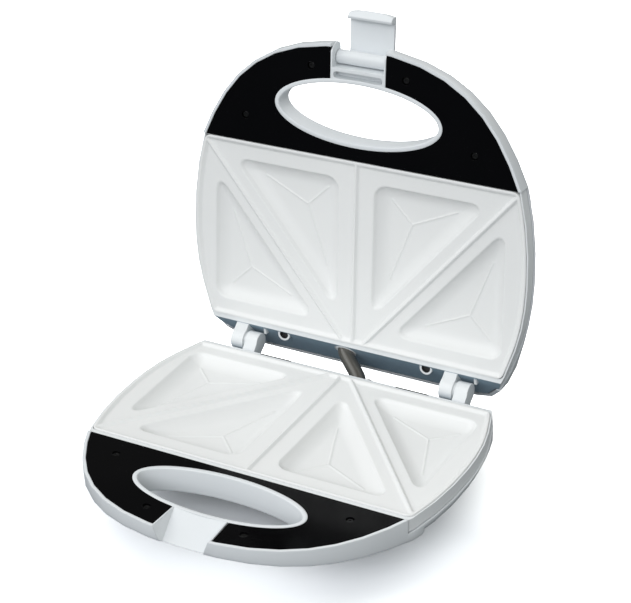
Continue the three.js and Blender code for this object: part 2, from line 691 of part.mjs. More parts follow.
function frame(isBase) {
  const frontY = frameFrontY(isBase);
  const band = prism(clipBand(inset(OUTLINE, BAND_INSET), frontY, REACH), BAND_FOOT, BAND_TOP);
  const skirtPlan = clipBand(inset(OUTLINE, SKIRT_INSET), frontY, REACH);
  const skirt = prism(skirtPlan, APRON_FOOT, BAND_FOOT + 1)
    .subtract(box([-REACH, REACH], [-REACH, APRON_FRONT_Y], [-REACH, SKIRT_FOOT]))
    .intersect(bodySkin(WALL + FIT));
  const hollowPlan = clipBand(inset(OUTLINE, SKIRT_INSET + SKIRT_T), frontY + SKIRT_T, REACH);
  const hollow = prism(hollowPlan, -REACH, LEDGE_Z - LEDGE_T).subtract(aboveApron(APRON_SINK + APRON_T));
  const opening = clipBand(inset(OUTLINE, OPENING_INSET), ...OPENING_Y);
  const openFront = isBase ? 0 : 2;
  const plateSeat = platePlan(FIT).map(([x, y]) => [x, y < 1 ? y - openFront : y]);
  let body = cut(band.add(skirt), [
    aboveApron(APRON_SINK),
    hollow,
    prism(opening, -REACH, REACH),
    prism(plateSeat, LEDGE_Z, REACH),
  ]);
  if (isBase) {
    const spans = HINGE_X.map(knuckleSpan);
    body = union([body, ...spans.map((span) => lug(KNUCKLE_R, span))]);
    body = cut(body, [grommetBore(CONDUIT_X.base), ...ledgeSlots(),
      ...spans.map(([x0, x1]) => hingeBore([x0 - 1, x1 - PIN_SINK]))]);
  } else {
    const spans = HINGE_X.map(armSpan).map(turnedOver);
    const arms = spans.map(([x0, x1]) => (
      lug(ARM_R, [x0 + HUB_W, x1]).add(rodX(HUB_R, [x0, x0 + HUB_W + 1], HINGE_Y, HINGE_Z, SIDES.broad))));
    const ribs = HINGE_X.map(knuckleSpan).map(turnedOver).map(stopRib);
    body = union([body, ...arms, ...ribs, ...WELL_X.map(wellBoss)]);
    body = cut(body, [grommetBore(-CONDUIT_X.lid), ...WELL_X.map(wellSpace),
      ...spans.map(([x0, x1]) => hingeBore([x0 - 1, x1 + 1]))]);
  }
  return body;
}

function wellScrew(x) {
  const top = WELL_BED_Z + FIT;
  const profile = [[0, top - SCREW_LENGTH], [SCREW_SHANK_R, top - SCREW_LENGTH + 1], [SCREW_SHANK_R, top],
    [WELL_BORE_R - FIT, top], [WELL_BORE_R - FIT, top + 1.6], [0.9, top + 2], [0, top + 1.4]];
  return solid(turned(profile, SIDES.small).translate(x, WELL_Y, 0));
}

function hingePin(x) {
  const span = [armSpan(x)[0] + PIN_SINK, knuckleSpan(x)[1] - PIN_SINK - FIT];
  return rodX(HINGE_PIN_R, span, HINGE_Y, HINGE_Z, SIDES.middle);
}

// Cooking plate: land, rim, three ridges and four pockets with a raised three-armed star each
const diagonalX = (y) => lerp(DIAGONAL_REAR[0], DIAGONAL_FRONT[0],
  (y - DIAGONAL_REAR[1]) / (DIAGONAL_FRONT[1] - DIAGONAL_REAR[1]));
const diagonalY = (x) => lerp(DIAGONAL_REAR[1], DIAGONAL_FRONT[1],
  (x - DIAGONAL_REAR[0]) / (DIAGONAL_FRONT[0] - DIAGONAL_REAR[0]));

function pocketTriangles() {
  const gap = POCKET_DIAGONAL_GAP;
  const inner = [
    [POCKET_SIDE_X, POCKET_FRONT_Y],
    [diagonalX(POCKET_FRONT_Y) - gap, POCKET_FRONT_Y],
    [POCKET_SIDE_X, diagonalY(POCKET_SIDE_X + gap)],
  ];
  const outer = [
    [POCKET_OUTER_X[0], diagonalY(POCKET_OUTER_X[0] - gap)],
    [POCKET_OUTER_X[1], POCKET_REAR_Y],
    [diagonalX(POCKET_REAR_Y) + gap, POCKET_REAR_Y],
  ];
  return [inner, outer, mirrored(inner), mirrored(outer)];
}

// The pocket's skin, grown outwards and down by a thickness
function pocketSkin(triangle, thickness) {
  const levels = [
    [POCKET_RUN, POCKET_FLOOR],
    [POCKET_RUN - 1.8, POCKET_FLOOR + 0.5],
    [1.6, LAND_Z - 0.9],
    [0, LAND_Z],
  ];
  const rings = levels.map(([run, z]) => {
    const radius = Math.max(POCKET_CORNER_R - run / 2, 1.5) + thickness;
    return atHeight(roundCorners(inset(triangle, run - thickness), radius), z - thickness);
  });
  const top = rings[rings.length - 1].map(([x, y]) => [x, y, thickness ? LAND_Z - 0.5 : 1]);
  return loft([...rings, top]);
}

function incentre(triangle) {
  const weights = triangle.map((_, i) => {
    const [a, b] = [triangle[(i + 1) % 3], triangle[(i + 2) % 3]];
    return Math.hypot(a[0] - b[0], a[1] - b[1]);
  });
  const total = weights[0] + weights[1] + weights[2];
  return [0, 1].map((axis) => {
    const sum = triangle.reduce((part, corner, i) => part + corner[axis] * weights[i], 0);
    return sum / total;
  });
}

function star(triangle) {
  const [cx, cy] = incentre(triangle);
  const arms = triangle.map(([x, y]) => {
    const [dx, dy] = [(x - cx) * STAR_REACH, (y - cy) * STAR_REACH];
    const length = Math.hypot(dx, dy);
    const [sx, sy] = [(-dy / length) * (STAR_WIDTH / 2), (dx / length) * (STAR_WIDTH / 2)];
    const strip = [
      [cx - sx, cy - sy],
      [cx + dx - sx / 2, cy + dy - sy / 2],
      [cx + dx + sx / 2, cy + dy + sy / 2],
      [cx + sx, cy + sy],
    ];
    return prism(strip, POCKET_FLOOR - 0.5, POCKET_FLOOR + STAR_HEIGHT);
  });
  return union(arms);
}

function ridge([x0, y0], [x1, y1]) {
  const section = [
    [-RIDGE_FOOT / 2, LAND_Z - 0.3],
    [RIDGE_FOOT / 2, LAND_Z - 0.3],
    [RIDGE_CREST / 2, RIDGE_Z],
    [-RIDGE_CREST / 2, RIDGE_Z],
  ];
  const along = new THREE.Vector3(x1 - x0, y1 - y0, 0);
  const length = along.length();
  along.normalize();
  const up = new THREE.Vector3(0, 0, 1);
  const across = new THREE.Vector3().crossVectors(up, along);
  const place = new THREE.Matrix4().makeBasis(across, up, along).setPosition(x0, y0, 0);
  return solid(extrusion(section, length).applyMatrix4(place));
}

function plate() {
  const plan = platePlan();
  const land = prism(plan, FLANGE_FOOT, LAND_Z);
  const rimHollow = loft([
    atHeight(platePlan(-RIM_CREST - RIM_RUN), LAND_Z),
    atHeight(platePlan(-RIM_CREST), 0),
    atHeight(platePlan(-RIM_CREST), 1),
  ]);
  const rim = prism(plan, LAND_Z - 0.3, 0).subtract(rimHollow);
  const [rearX, rearY] = DIAGONAL_REAR;
  const [frontX, frontY] = DIAGONAL_FRONT;
  const ridges = union([
    ridge([0, PLATE_FRONT_Y + 1], [0, PLATE_REAR_Y - 1]),
    ridge([rearX, rearY], [frontX, frontY]),
    ridge([-rearX, rearY], [-frontX, frontY]),
  ]).intersect(prism(plan, -REACH, REACH));
  const triangles = pocketTriangles();
  const studs = STUD_Y.map((y) => rodZ(STUD_R, 0, y, [REFLECTOR_TOP + FIT, LAND_Z - 0.5], SIDES.small));
  const body = union([land, rim, ridges, ...triangles.map((t) => pocketSkin(t, PLATE_WALL)), ...studs]);
  const threadSpan = [REFLECTOR_TOP - 1, REFLECTOR_TOP + CLAMP_LENGTH];
  const hollow = cut(body, [
    ...triangles.map((t) => pocketSkin(t, 0)),
    ...STUD_Y.map((y) => rodZ(CLAMP_SHANK_R + FIT, 0, y, threadSpan, SIDES.fine)),
  ]);
  return union([hollow, ...triangles.map(star)]);
}

// Heating element, reflector and what is fixed to them
const HEATER_Z = POCKET_FLOOR - PLATE_WALL - FIT - HEATER_R;
const REFLECTOR_TOP = HEATER_Z - HEATER_R - FIT;
const REFLECTOR_FOOT = REFLECTOR_TOP - REFLECTOR_T;

function heater() {
  const left = HEATER_ROUTE.slice(0, -1).map(([x, y]) => new THREE.Vector3(-x, y, HEATER_Z));
  const right = HEATER_ROUTE.map(([x, y]) => new THREE.Vector3(x, y, HEATER_Z)).reverse();
  const route = new THREE.CatmullRomCurve3([...left, ...right], false, 'centripetal');
  const section = ring(HEATER_R, HEATER_SIDES);
  return solid(new THREE.ExtrudeGeometry(toShape(section), { steps: HEATER_STEPS, extrudePath: route }));
}

function reflector() {
  const plan = clipBand(inset(OUTLINE, REFLECTOR_INSET), OPENING_Y[0] - 2, OPENING_Y[1] - 2);
  const lip = prism(plan, REFLECTOR_FOOT, REFLECTOR_TOP + REFLECTOR_LIP)
    .subtract(prism(inset(plan, REFLECTOR_T), REFLECTOR_TOP, REACH));
  return cut(lip, STUD_Y.map((y) => rodZ(CLAMP_SHANK_R + FIT, 0, y, [-REACH / 4, 1], SIDES.fine)));
}

function clampScrew(y) {
  const top = REFLECTOR_FOOT - FIT;
  const profile = [
    [0, top - CLAMP_HEAD_T],
    [CLAMP_HEAD_R - 0.6, top - CLAMP_HEAD_T],
    [CLAMP_HEAD_R, top - 1],
    [CLAMP_HEAD_R, top],
    [CLAMP_SHANK_R, top],
    [CLAMP_SHANK_R, top + CLAMP_LENGTH - 1],
    [0, top + CLAMP_LENGTH],
  ];
  return solid(turned(profile, SIDES.fine).translate(0, y, 0));
}

function thermostat() {
  const top = REFLECTOR_FOOT - FIT;
  const { y, r, h, capR, capH } = THERMOSTAT;
  return solid(turned([[0, top - h - capH], [capR, top - h - capH], [capR, top - h], [r, top - h], [r, top],
    [0, top]], SIDES.small).translate(0, y, 0));
}

function fuse() {
  const { x, y, r, length, wireR, wire } = FUSE;
  const z = REFLECTOR_FOOT - FIT - r;
  const body = rodX(r, [x - length / 2, x + length / 2], y, z, SIDES.small);
  return body.add(rodX(wireR, [x - length / 2 - wire, x + length / 2 + wire], y, z, 8));
}

function terminalBlock() {
  const { x, y, width, depth, height, ways, screwR } = TERMINALS;
  const floor = -HALF_DEPTH + WALL + FIT;
  const pitch = width / ways;
  const bank = box([x - width / 2, x + width / 2], [y - depth / 2, y + depth / 2], [floor, floor + height]);
  const wells = [];
  for (let way = 0; way < ways; way += 1) {
    const wayX = x - width / 2 + pitch * (way + 0.5);
    wells.push(rodZ(screwR * 0.8, wayX, y, [floor + height * 0.35, floor + height + 1], SIDES.fine));
    wells.push(rodY(screwR, wayX, [y - depth, y + depth], floor + height * 0.35, SIDES.fine));
  }
  for (let way = 1; way < ways; way += 1) {
    const slotX = x - width / 2 + pitch * way;
    const slotZ = [floor + height - 3, floor + height + 1];
    wells.push(box([slotX - 0.6, slotX + 0.6], [y - depth, y + depth], slotZ));
  }
  return cut(bank, wells);
}

// Latch, drawn closed about its own pivot: y forward is negative and z rises to the other half
function latch() {
  const inner = -LATCH_STANDOFF;
  const outer = inner - LATCH_T;
  const profile = [
    [0, -LATCH_WEB],
    [outer + 2, -LATCH_WEB],
    [outer + 0.6, -LATCH_WEB + 0.6],
    [outer, -LATCH_WEB + 2],
    [outer, HOOK_GAP + HOOK_T - 2.4],
    [outer + 0.8, HOOK_GAP + HOOK_T - 0.8],
    [outer + 2.6, HOOK_GAP + HOOK_T],
    [inner + HOOK_LIP - 1, HOOK_GAP + 3],
    [inner + HOOK_LIP, HOOK_GAP + 1.6],
    [inner + HOOK_LIP - 0.6, HOOK_GAP],
    [inner, HOOK_GAP],
    [inner, 1],
    [inner + 1.6, -0.5],
    [0, -0.5],
  ];
  const half = LATCH_WIDTH / 2;
  const barrelHalf = BAY_X - FIT;
  const end = HOOK_GAP + HOOK_T;
  const arch = Array.from({ length: 13 }, (_, i) => {
    const x = half - (LATCH_WIDTH * i) / 12;
    return [x, end - HOOK_ARCH * (x / half) ** 2];
  });
  const turn = new THREE.Matrix4().makeBasis(
    new THREE.Vector3(1, 0, 0),
    new THREE.Vector3(0, 0, 1),
    new THREE.Vector3(0, -1, 0),
  );
  const face = solid(extrusion([[-half, -BARREL_R - 1], [half, -BARREL_R - 1], ...arch], 40)
    .applyMatrix4(turn).translate(0, 20, 0));
  const lever = sideExtrusion(profile.reverse(), -half, half).intersect(face);
  const barrel = rodX(BARREL_R, [-barrelHalf, barrelHalf], 0, 0, SIDES.broad);
  return lever.add(barrel).subtract(rodX(LATCH_PIN_R + FIT, [-BAY_X, BAY_X], 0, 0, SIDES.small));
}

function latchPin() {
  const half = BAY_X + BAY_WALL - FIT;
  return rodX(LATCH_PIN_R, [-half, half], 0, 0, SIDES.small);
}

// Feet, gland, lamps
function foot(x, y) {
  const top = -HALF_DEPTH - LEG_DROP + FOOT_SEAT - FIT;
  return solid(turned([[0, top - FOOT_H], [FOOT_R - 1.2, top - FOOT_H], [FOOT_R - 0.3, top - FOOT_H + 0.5],
    [FOOT_R, top - FOOT_H + 1.4], [FOOT_R, top], [0, top]], SIDES.middle).translate(x, y, 0));
}

function glandBore() {
  return rodY(GLAND_R + FIT, 0, [GLAND_FACE_Y - 20, GLAND_FACE_Y + 1], GLAND_Z);
}

function gland() {
  const tail = -WALL - 3;
  const profile = [[GLAND_BORE_R, tail], [GLAND_R, tail], [GLAND_R, FIT], [GLAND_FLANGE_R, FIT],
    [GLAND_FLANGE_R, GLAND_FLANGE_T], [GLAND_FLANGE_R - 1.6, GLAND_FLANGE_T + 0.6]];
  const ribs = 2;
  const pitch = (GLAND_LENGTH - GLAND_FLANGE_T - 1) / ribs;
  for (let rib = 0; rib < ribs; rib += 1) {
    const start = GLAND_FLANGE_T + 1 + rib * pitch;
    const radius = GLAND_R + 0.6 - rib * 0.2;
    profile.push([radius - 0.9, start], [radius - 0.9, start + pitch * 0.4], [radius, start + pitch * 0.5],
      [radius, start + pitch * 0.9]);
  }
  profile.push([GLAND_BORE_R, GLAND_LENGTH], [GLAND_BORE_R, tail]);
  return solid(turned(profile, SIDES.middle).rotateX(-Math.PI / 2).translate(0, GLAND_FACE_Y, GLAND_Z));
}

function lens(x) {
  const face = -HALF_DEPTH;
  return solid(turned([[0, face - LENS_PROUD], [LENS_R * 0.6, face - LENS_PROUD + 0.2], [LENS_R, face - 0.2],
    [LENS_R, face + WALL + 1.5], [0, face + WALL + 1.5]], SIDES.middle).translate(x, LAMP_Y, 0));
}

function lamp(x) {
  const start = -HALF_DEPTH + WALL + 1.5 + FIT;
  const profile = [
    [0, start],
    [LAMP_R * 0.6, start + 0.5],
    [LAMP_R, start + 2],
    [LAMP_R, start + LAMP_LENGTH],
    [0, start + LAMP_LENGTH],
  ];
  return solid(turned(profile, SIDES.small).translate(x, LAMP_Y, 0));
}

function grommet(x, sleeveSpace) {
  const neckFoot = -APRON_SINK - APRON_T - FIT;
  const body = turned([[0, neckFoot - GROMMET_FLANGE_T], [GROMMET_FLANGE_R, neckFoot - GROMMET_FLANGE_T],
    [GROMMET_FLANGE_R, neckFoot], [GROMMET_R, neckFoot], [GROMMET_R, -APRON_SINK - 0.3],
    [GROMMET_R - 0.5, -APRON_SINK], [0, -APRON_SINK]], SIDES.middle);
  return solid(standOnApron(body, x, CONDUIT_SLIDE)).subtract(sleeveSpace);
}

// Materials
function finish(color, roughness, metalness = 0) {
  return new THREE.MeshStandardMaterial({ color, roughness, metalness });
}

const whiteShell = () => finish(0xf1f5f7, 0.35);
const whiteFrame = () => finish(0xe9eef0, 0.4);
const plateCoat = () => finish(0xe6ebea, 0.45);
const blackInlay = () => finish(0x050506, 0.12);
const steel = () => finish(0x9a9a98, 0.35, 1);
const darkSteel = () => finish(0x1a1a1b, 0.5, 0.8);
const aluminium = () => finish(0xb4b6b8, 0.4, 1);
const rubber = () => finish(0x2a2a2c, 0.8);
const sleeve = () => finish(0x4a4740, 0.55);
const ceramic = () => finish(0xd9d2c4, 0.6);
const tinted = (color) => finish(color, 0.15);

// Assembly
const toaster = new THREE.Group();
const baseHalf = new THREE.Group();
const lid = new THREE.Group();
const lidHalf = new THREE.Group();
const latchGroup = new THREE.Group();

toaster.add(baseHalf, lid);
lid.add(lidHalf);
lid.position.set(0, HINGE_Y, HINGE_Z);
lid.rotation.x = -rad(OPEN_ANGLE);
lidHalf.position.set(0, -HINGE_Y, CLOSED_GAP - HINGE_Z);
lidHalf.rotation.y = Math.PI;
lidHalf.add(latchGroup);
latchGroup.position.set(0, LATCH_Y, LATCH_Z);
latchGroup.rotation.x = rad(LATCH_SWING);

function put(group, name, body, material) {
  const mesh = new THREE.Mesh(toGeometry(body), material);
  mesh.name = name;
  group.add(mesh);
}

function putHeating(group, level) {
  put(group, `${level}_plate`, plate(), plateCoat());
  put(group, `${level}_heating_element`, heater(), darkSteel());
  put(group, `${level}_reflector`, reflector(), aluminium());
  put(group, `${level}_clamp_screw_front`, clampScrew(STUD_Y[0]), steel());
  put(group, `${level}_clamp_screw_rear`, clampScrew(STUD_Y[1]), steel());
  put(group, `${level}_thermostat`, thermostat(), ceramic());
}

function putInlay(group, isBase, notchX, notchFlare) {
  const owner = isBase ? 'base' : 'lid';
  put(group, `${owner}_handle_inlay`, inlay(isBase, notchX, notchFlare), blackInlay());
  INLAY_SCREWS.forEach((at, i) => put(group, `${owner}_inlay_screw_${i + 1}`, inlayScrew(at), darkSteel()));
}

put(baseHalf, 'base_shell', shell(true), whiteShell());
put(baseHalf, 'base_frame', frame(true), whiteFrame());
putInlay(baseHalf, true, NOTCH_X + NOTCH_WALL + FIT, NOTCH_FLARE);
putHeating(baseHalf, 'lower');
put(baseHalf, 'thermal_fuse', fuse(), ceramic());
put(baseHalf, 'terminal_block', terminalBlock(), ceramic());
put(baseHalf, 'cord_gland', gland(), rubber());
[['left', -1], ['right', 1]].forEach(([side, sign]) => {
  put(baseHalf, `foot_front_${side}`, foot(sign * FOOT_X, FOOT_Y[0]), rubber());
  put(baseHalf, `foot_rear_${side}`, foot(sign * FOOT_X, FOOT_Y[1]), rubber());
});
put(baseHalf, 'hinge_pin_left', hingePin(HINGE_X[0]), steel());
put(baseHalf, 'hinge_pin_right', hingePin(HINGE_X[1]), steel());

put(lidHalf, 'lid_shell', shell(false), whiteShell());
put(lidHalf, 'lid_frame', frame(false), whiteFrame());
putInlay(lidHalf, false, BAY_X + BAY_WALL + FIT, 0);
putHeating(lidHalf, 'upper');
put(lidHalf, 'lid_well_screw_left', wellScrew(WELL_X[1]), darkSteel());
put(lidHalf, 'lid_well_screw_right', wellScrew(WELL_X[0]), darkSteel());
put(lidHalf, 'power_lens', lens(LAMP_X[1]), tinted(0xb01210));
put(lidHalf, 'ready_lens', lens(LAMP_X[0]), tinted(0x128a30));
put(lidHalf, 'power_lamp', lamp(LAMP_X[1]), tinted(0xd8a070));
put(lidHalf, 'ready_lamp', lamp(LAMP_X[0]), tinted(0xa8c8a0));
put(latchGroup, 'latch', latch(), whiteShell());
put(latchGroup, 'latch_pin', latchPin(), steel());

// The sleeve between the halves, along its route with the lid open. Inside each half it leans outwards,
// so that it leaves the apron on its way to the other half.
const conduitEnd = (x, lean) => [[x + lean, CONDUIT_STUB], [x + lean / 3, CONDUIT_STUB / 2], [x, 0]]
  .map(([across, depth]) => new THREE.Vector3(across, ...onApron(CONDUIT_SLIDE, -depth)));

function sleeveSection(grow) {
  toaster.updateMatrixWorld(true);
  const fromBase = conduitEnd(CONDUIT_X.base, CONDUIT_LEAN).map((point) => baseHalf.localToWorld(point));
  const fromLid = conduitEnd(-CONDUIT_X.lid, CONDUIT_LEAN).map((point) => lidHalf.localToWorld(point));
  const route = new THREE.CatmullRomCurve3([...fromBase, ...fromLid.reverse()], false, 'centripetal');
  const section = ring(CONDUIT_R + grow, CONDUIT_SIDES);
  return new THREE.ExtrudeGeometry(toShape(section), { steps: CONDUIT_STEPS, extrudePath: route });
}

const sleeveSpaceIn = (half) => solid(sleeveSection(FIT).applyMatrix4(half.matrixWorld.clone().invert()));

put(toaster, 'interlink_conduit', solid(sleeveSection(0)), sleeve());
put(baseHalf, 'conduit_grommet_lower', grommet(CONDUIT_X.base, sleeveSpaceIn(baseHalf)), whiteFrame());
put(lidHalf, 'conduit_grommet_upper', grommet(-CONDUIT_X.lid, sleeveSpaceIn(lidHalf)), whiteFrame());

// The origin lies under the middle of the bounding box, on the surface that the toaster stands on
toaster.updateMatrixWorld(true);
const bounds = new THREE.Box3().setFromObject(toaster, true);
const centre = bounds.getCenter(new THREE.Vector3());
toaster.position.set(-centre.x, -centre.y, -bounds.min.z);

export default toaster;
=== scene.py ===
import json
import math

import bpy
import numpy as np
from mathutils import Matrix, Vector


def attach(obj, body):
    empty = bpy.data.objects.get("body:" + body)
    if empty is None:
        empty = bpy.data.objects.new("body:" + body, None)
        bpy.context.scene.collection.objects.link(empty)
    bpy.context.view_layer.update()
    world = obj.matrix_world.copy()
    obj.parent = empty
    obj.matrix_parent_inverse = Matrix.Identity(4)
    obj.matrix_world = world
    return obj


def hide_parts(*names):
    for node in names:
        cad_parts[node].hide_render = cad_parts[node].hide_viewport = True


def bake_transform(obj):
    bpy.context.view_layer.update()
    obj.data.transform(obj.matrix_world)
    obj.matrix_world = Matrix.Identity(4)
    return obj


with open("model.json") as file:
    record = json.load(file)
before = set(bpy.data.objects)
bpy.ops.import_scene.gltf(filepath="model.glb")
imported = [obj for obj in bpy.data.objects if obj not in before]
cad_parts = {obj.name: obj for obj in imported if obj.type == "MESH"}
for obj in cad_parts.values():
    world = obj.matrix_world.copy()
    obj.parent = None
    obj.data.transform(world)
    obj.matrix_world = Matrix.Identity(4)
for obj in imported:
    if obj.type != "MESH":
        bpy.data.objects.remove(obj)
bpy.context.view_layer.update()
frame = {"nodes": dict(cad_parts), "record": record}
NODES = frame["nodes"]

# Driving sizes, in millimetres and degrees. In a half, y is 0 near the plate's front edge and z at its rim
SHIFT = (0.0, -55.307, 43.0)
HINGE_Y = 138.7
HINGE_Z = 0.5
CLOSED_GAP = 1.0
OPEN_ANGLE = 93.4
MM = 0.001

# Outline of one half
FRONT_Y = -75.7
SHOULDER = (110.8, -1.0)
FRONT_ROUND = (64.0, (91.5, -48.5))
BELT = (118.8, 60.0)
REAR_BEND = (113.6, 103.0)
REAR_Y = 152.0
REAR_CORNER_X = 80.0
REAR_CORNER_PULL = (29.4, 18.0)
SIDE_LEAN = 0.28
OUTLINE_STEPS = 40

# Cooking plate
PLATE_INSET = 2.2
PLATE_FRONT_Y = -1.2
PLATE_REAR_Y = 124.5
PLATE_CORNER_R = 3.5
PLATE_EDGE_ROUND = 0.5
PLATE_STEP = 0.5
UNDER_COARSENESS = 4
EDGE_ROWS = (0.0, 0.12, 0.3, 0.6, 1.0)
EDGE_BAND = 1.5
EDGE_COLUMNS = (1.0, 0.9988, 0.9972, 0.995, 0.991)
EDGE_COLUMNS_END = 0.988
LAND_Z = -1.7
PLATE_FOOT = -3.7
PLATE_RIM_CREST = 1.2
PLATE_RIM_RUN = 2.6
RIDGE_HALF_CREST = 0.5
RIDGE_HALF_FOOT = 1.8
RIDGE_Z = -0.1
DIAGONAL = ((7.0, 124.0), (107.4, 2.5))
POCKET_INNER_X = 11.8
POCKET_OUTER_X = (102.0, 103.8)
POCKET_FRONT_Y = 11.0
POCKET_REAR_Y = 113.5
POCKET_FROM_DIAGONAL = 10.5
POCKET_FLOOR = -7.7
POCKET_RUN = 11.0
POCKET_HOLLOW = 2.2
POCKET_EDGE = 2.0
POCKET_CORNER_R = 9.5
POCKET_START = 0.05
STAR_HALF_WIDTH = 0.8
STAR_HEIGHT = 0.6
STAR_REACH = 0.57
PLATE_WALL = 2.0

# Rear face and sleeve
LEDGE_REAR_Y = 128.3
BAND_TOP = -0.9
APRON_ANGLE = 43.5
# Painted shade: the slate-blue colour of the sloping rear faces stands in for the shade that falls there
APRON_SHADE_COLOUR = (0.24, 0.33, 0.4)
APRON_FACING = (0.97, 0.99)
APRON_TOLERANCE = 0.6
CONDUIT_X = (8.0, 7.5)
CONDUIT_SLIDE = 8.0
CONDUIT_R = 4.8
CONDUIT_STUB = 10.0
CONDUIT_LEAN = 4.5
CONDUIT_SIDES = 28
CONDUIT_STEPS = 10
CONDUIT_SEAM = (1.0, 0.3, 0.0)

# Screw wells in the lid's sloping rear face
WELL_X = 51.8
WELL_Y = 130.8
WELL_FACE_Z = -3.3
WELL_BORE_R = 3.1
# Painted shade: a black sleeve inside each well bore stands in for the shade deep in the hole
WELL_SHADE_DEPTH = 3.0
WELL_SHADE_FLOOR = 0.4
WELL_SHADE_SUNK = 0.25
WELL_SHADE_OUT = 0.1
WELL_SHADE_IN = 0.25
WELL_SIDES = 40

# Rim of the finger hole
HOLE_Y = -32.0
HOLE_OUTER = (57.0, 21.4)
HOLE_STEPS = 120
RIM_OUT = 0.35
RIM_IN = -2.55
RIM_ROUND = 0.7
RIM_ROUND_STEPS = 4
RIM_TOP = 0.04
RIM_SIDE = 0.6
RIM_CHAMFER = (0.15, 0.1)
RIM_WALL = 0.4
RIM_FOOT_GAP = 0.2
HANDLE_DEPTH = 11.0
HANDLE_SLOPE = {"base": 0.09, "lid": 0.05}

# Painted shade of the slots in the ledge behind the lower plate: thin black strips
LEDGE_SLOT_X = (38.2, 60.8)
LEDGE_SLOT_Y = (126.6, 127.8)
LEDGE_SLOT_Z = -0.88
LEDGE_SLOT_THICK = 0.4

# Edges of meshes: angles in degrees above which they stay sharp, and the distance for welding
SHARP_ANGLE = 35
SHARP_ANGLE_SOFT_FORMS = 50
SHARP_ANGLE_NODES = 32
WELD_DISTANCE = 0.01

# Surfaces
BROAD_SCALE = 18.0
BROAD_RANGE = (0.3, 0.7)
GLOSS_SPREAD = 0.1
GRAIN_DETAIL = 2.0
GRAIN_DEPTH = 0.1
COAT_ROUGHNESS = 0.05
BEVEL_SAMPLES = 6

# Floor and sky
FLOOR_REACH = 8000.0
FLOOR_ROUGHNESS = 0.9
FLOOR_SEEN = (1.47, 1.5, 1.54)
# Painted light: as the camera sees it, the floor grows brighter towards the rear over the given rise in y,
# washing out the shadow of the halves there
FLOOR_REAR_PAINTED_LIGHT = (3.2, 3.2, 3.2)
FLOOR_PAINTED_LIGHT_RISE = (0.0, 120.0)
FLOOR_BOUNCE = (0.16, 0.175, 0.19)
SKY = 0.57
SKY_GLOSS = 0.15
SKY_SEEN = 1.1
SKY_COLOUR = (0.97, 0.98, 0.96)
SOFTNESS = 35.0

# Lamps: where each stands, seen from the object, its strength and its colour
LAMPS = {
    "left": ((-0.9, -0.8, 0.7), 0.27, (0.98, 1.01, 0.98)),
    "left_side": ((-1.0, -0.2, 0.7), 0.3, (1.0, 0.98, 1.02)),
    "left_high": ((-0.6, -0.6, 1.2), 0.2, (1.0, 1.0, 1.0)),
    "left_rear": ((-0.8, 0.4, 0.9), 0.36, (1.0, 1.0, 1.0)),
    "front": ((0.0, -1.0, 0.6), 0.98, (0.99, 1.0, 1.05)),
    "right": ((0.7, -0.8, 0.7), 0.22, (0.98, 1.02, 0.98)),
    "rear": ((0.2, 1.0, 0.7), 0.3, (1.0, 1.0, 1.0)),
}

# Lamps that leave no highlight
UNSEEN_LAMPS = ("left_rear",)

# Camera, worked out from the photograph: its place in the frame of the base half, and its angles
CAMERA_AT = (457.479, -764.799, 575.993)
CAMERA_TURN = 28.115
CAMERA_DOWN = 27.576
CAMERA_ROLL = -0.981
CAMERA_LENS = 101.583
CAMERA_CLIP = 50.0
SENSOR = 36.0


def lerp(a, b, t):
    return a + (b - a) * t


def smooth(t):
    t = np.clip(t, 0.0, 1.0)
    return t * t * (3 - 2 * t)


# Placement of the halves
BASE_PLACE = Matrix.Translation(SHIFT)
LID_PLACE = (
    Matrix.Translation(SHIFT)
    @ Matrix.Translation((0, HINGE_Y, HINGE_Z))
    @ Matrix.Rotation(-math.radians(OPEN_ANGLE), 4, "X")
    @ Matrix.Translation((0, -HINGE_Y, CLOSED_GAP - HINGE_Z))
    @ Matrix.Rotation(math.pi, 4, "Y")
)
PLACES = {"base": BASE_PLACE, "lid": LID_PLACE}


def placed(points, half):
    place = np.array(PLACES[half])
    points = np.asarray(points, float)
    return (points @ place[:3, :3].T + place[:3, 3]) * MM


# Outline helpers
def bezier(a, b, c, d, steps):
    t = np.linspace(0, 1, steps + 1)[:, None]
    a, b, c, d = (np.array(p, float) for p in (a, b, c, d))
    return a * (1 - t) ** 3 + 3 * b * t * (1 - t) ** 2 + 3 * c * t * t * (1 - t) + d * t ** 3


def right_side(steps=OUTLINE_STEPS):
    """The outline of the right side, from the front middle to the rear straight, as [x, y]."""
    rise = (BELT[1] - SHOULDER[1]) / 3
    fall = (REAR_BEND[1] - BELT[1]) / 3
    side_pull, rear_pull = REAR_CORNER_PULL
    after_shoulder = (SHOULDER[0] + rise * SIDE_LEAN, SHOULDER[1] + rise)
    before_belt = (BELT[0], BELT[1] - rise)
    after_belt = (BELT[0], BELT[1] + fall)
    before_bend = (REAR_BEND[0] + fall * SIDE_LEAN, REAR_BEND[1] - fall)
    after_bend = (REAR_BEND[0] - side_pull * SIDE_LEAN, REAR_BEND[1] + side_pull)
    parts = [
        bezier((0, FRONT_Y), (FRONT_ROUND[0], FRONT_Y), FRONT_ROUND[1], SHOULDER, steps),
        bezier(SHOULDER, after_shoulder, before_belt, BELT, steps),
        bezier(BELT, after_belt, before_bend, REAR_BEND, steps),
        bezier(REAR_BEND, after_bend, (REAR_CORNER_X + rear_pull, REAR_Y), (REAR_CORNER_X, REAR_Y), steps),
    ]
    return np.vstack([parts[0]] + [part[1:] for part in parts[1:]])


def inset_right(distance):
    """The right side moved inwards by a distance."""
    points = right_side()
    step = np.gradient(points, axis=0)
    step /= np.linalg.norm(step, axis=1)[:, None]
    return points + distance * np.stack([-step[:, 1], step[:, 0]], axis=1)


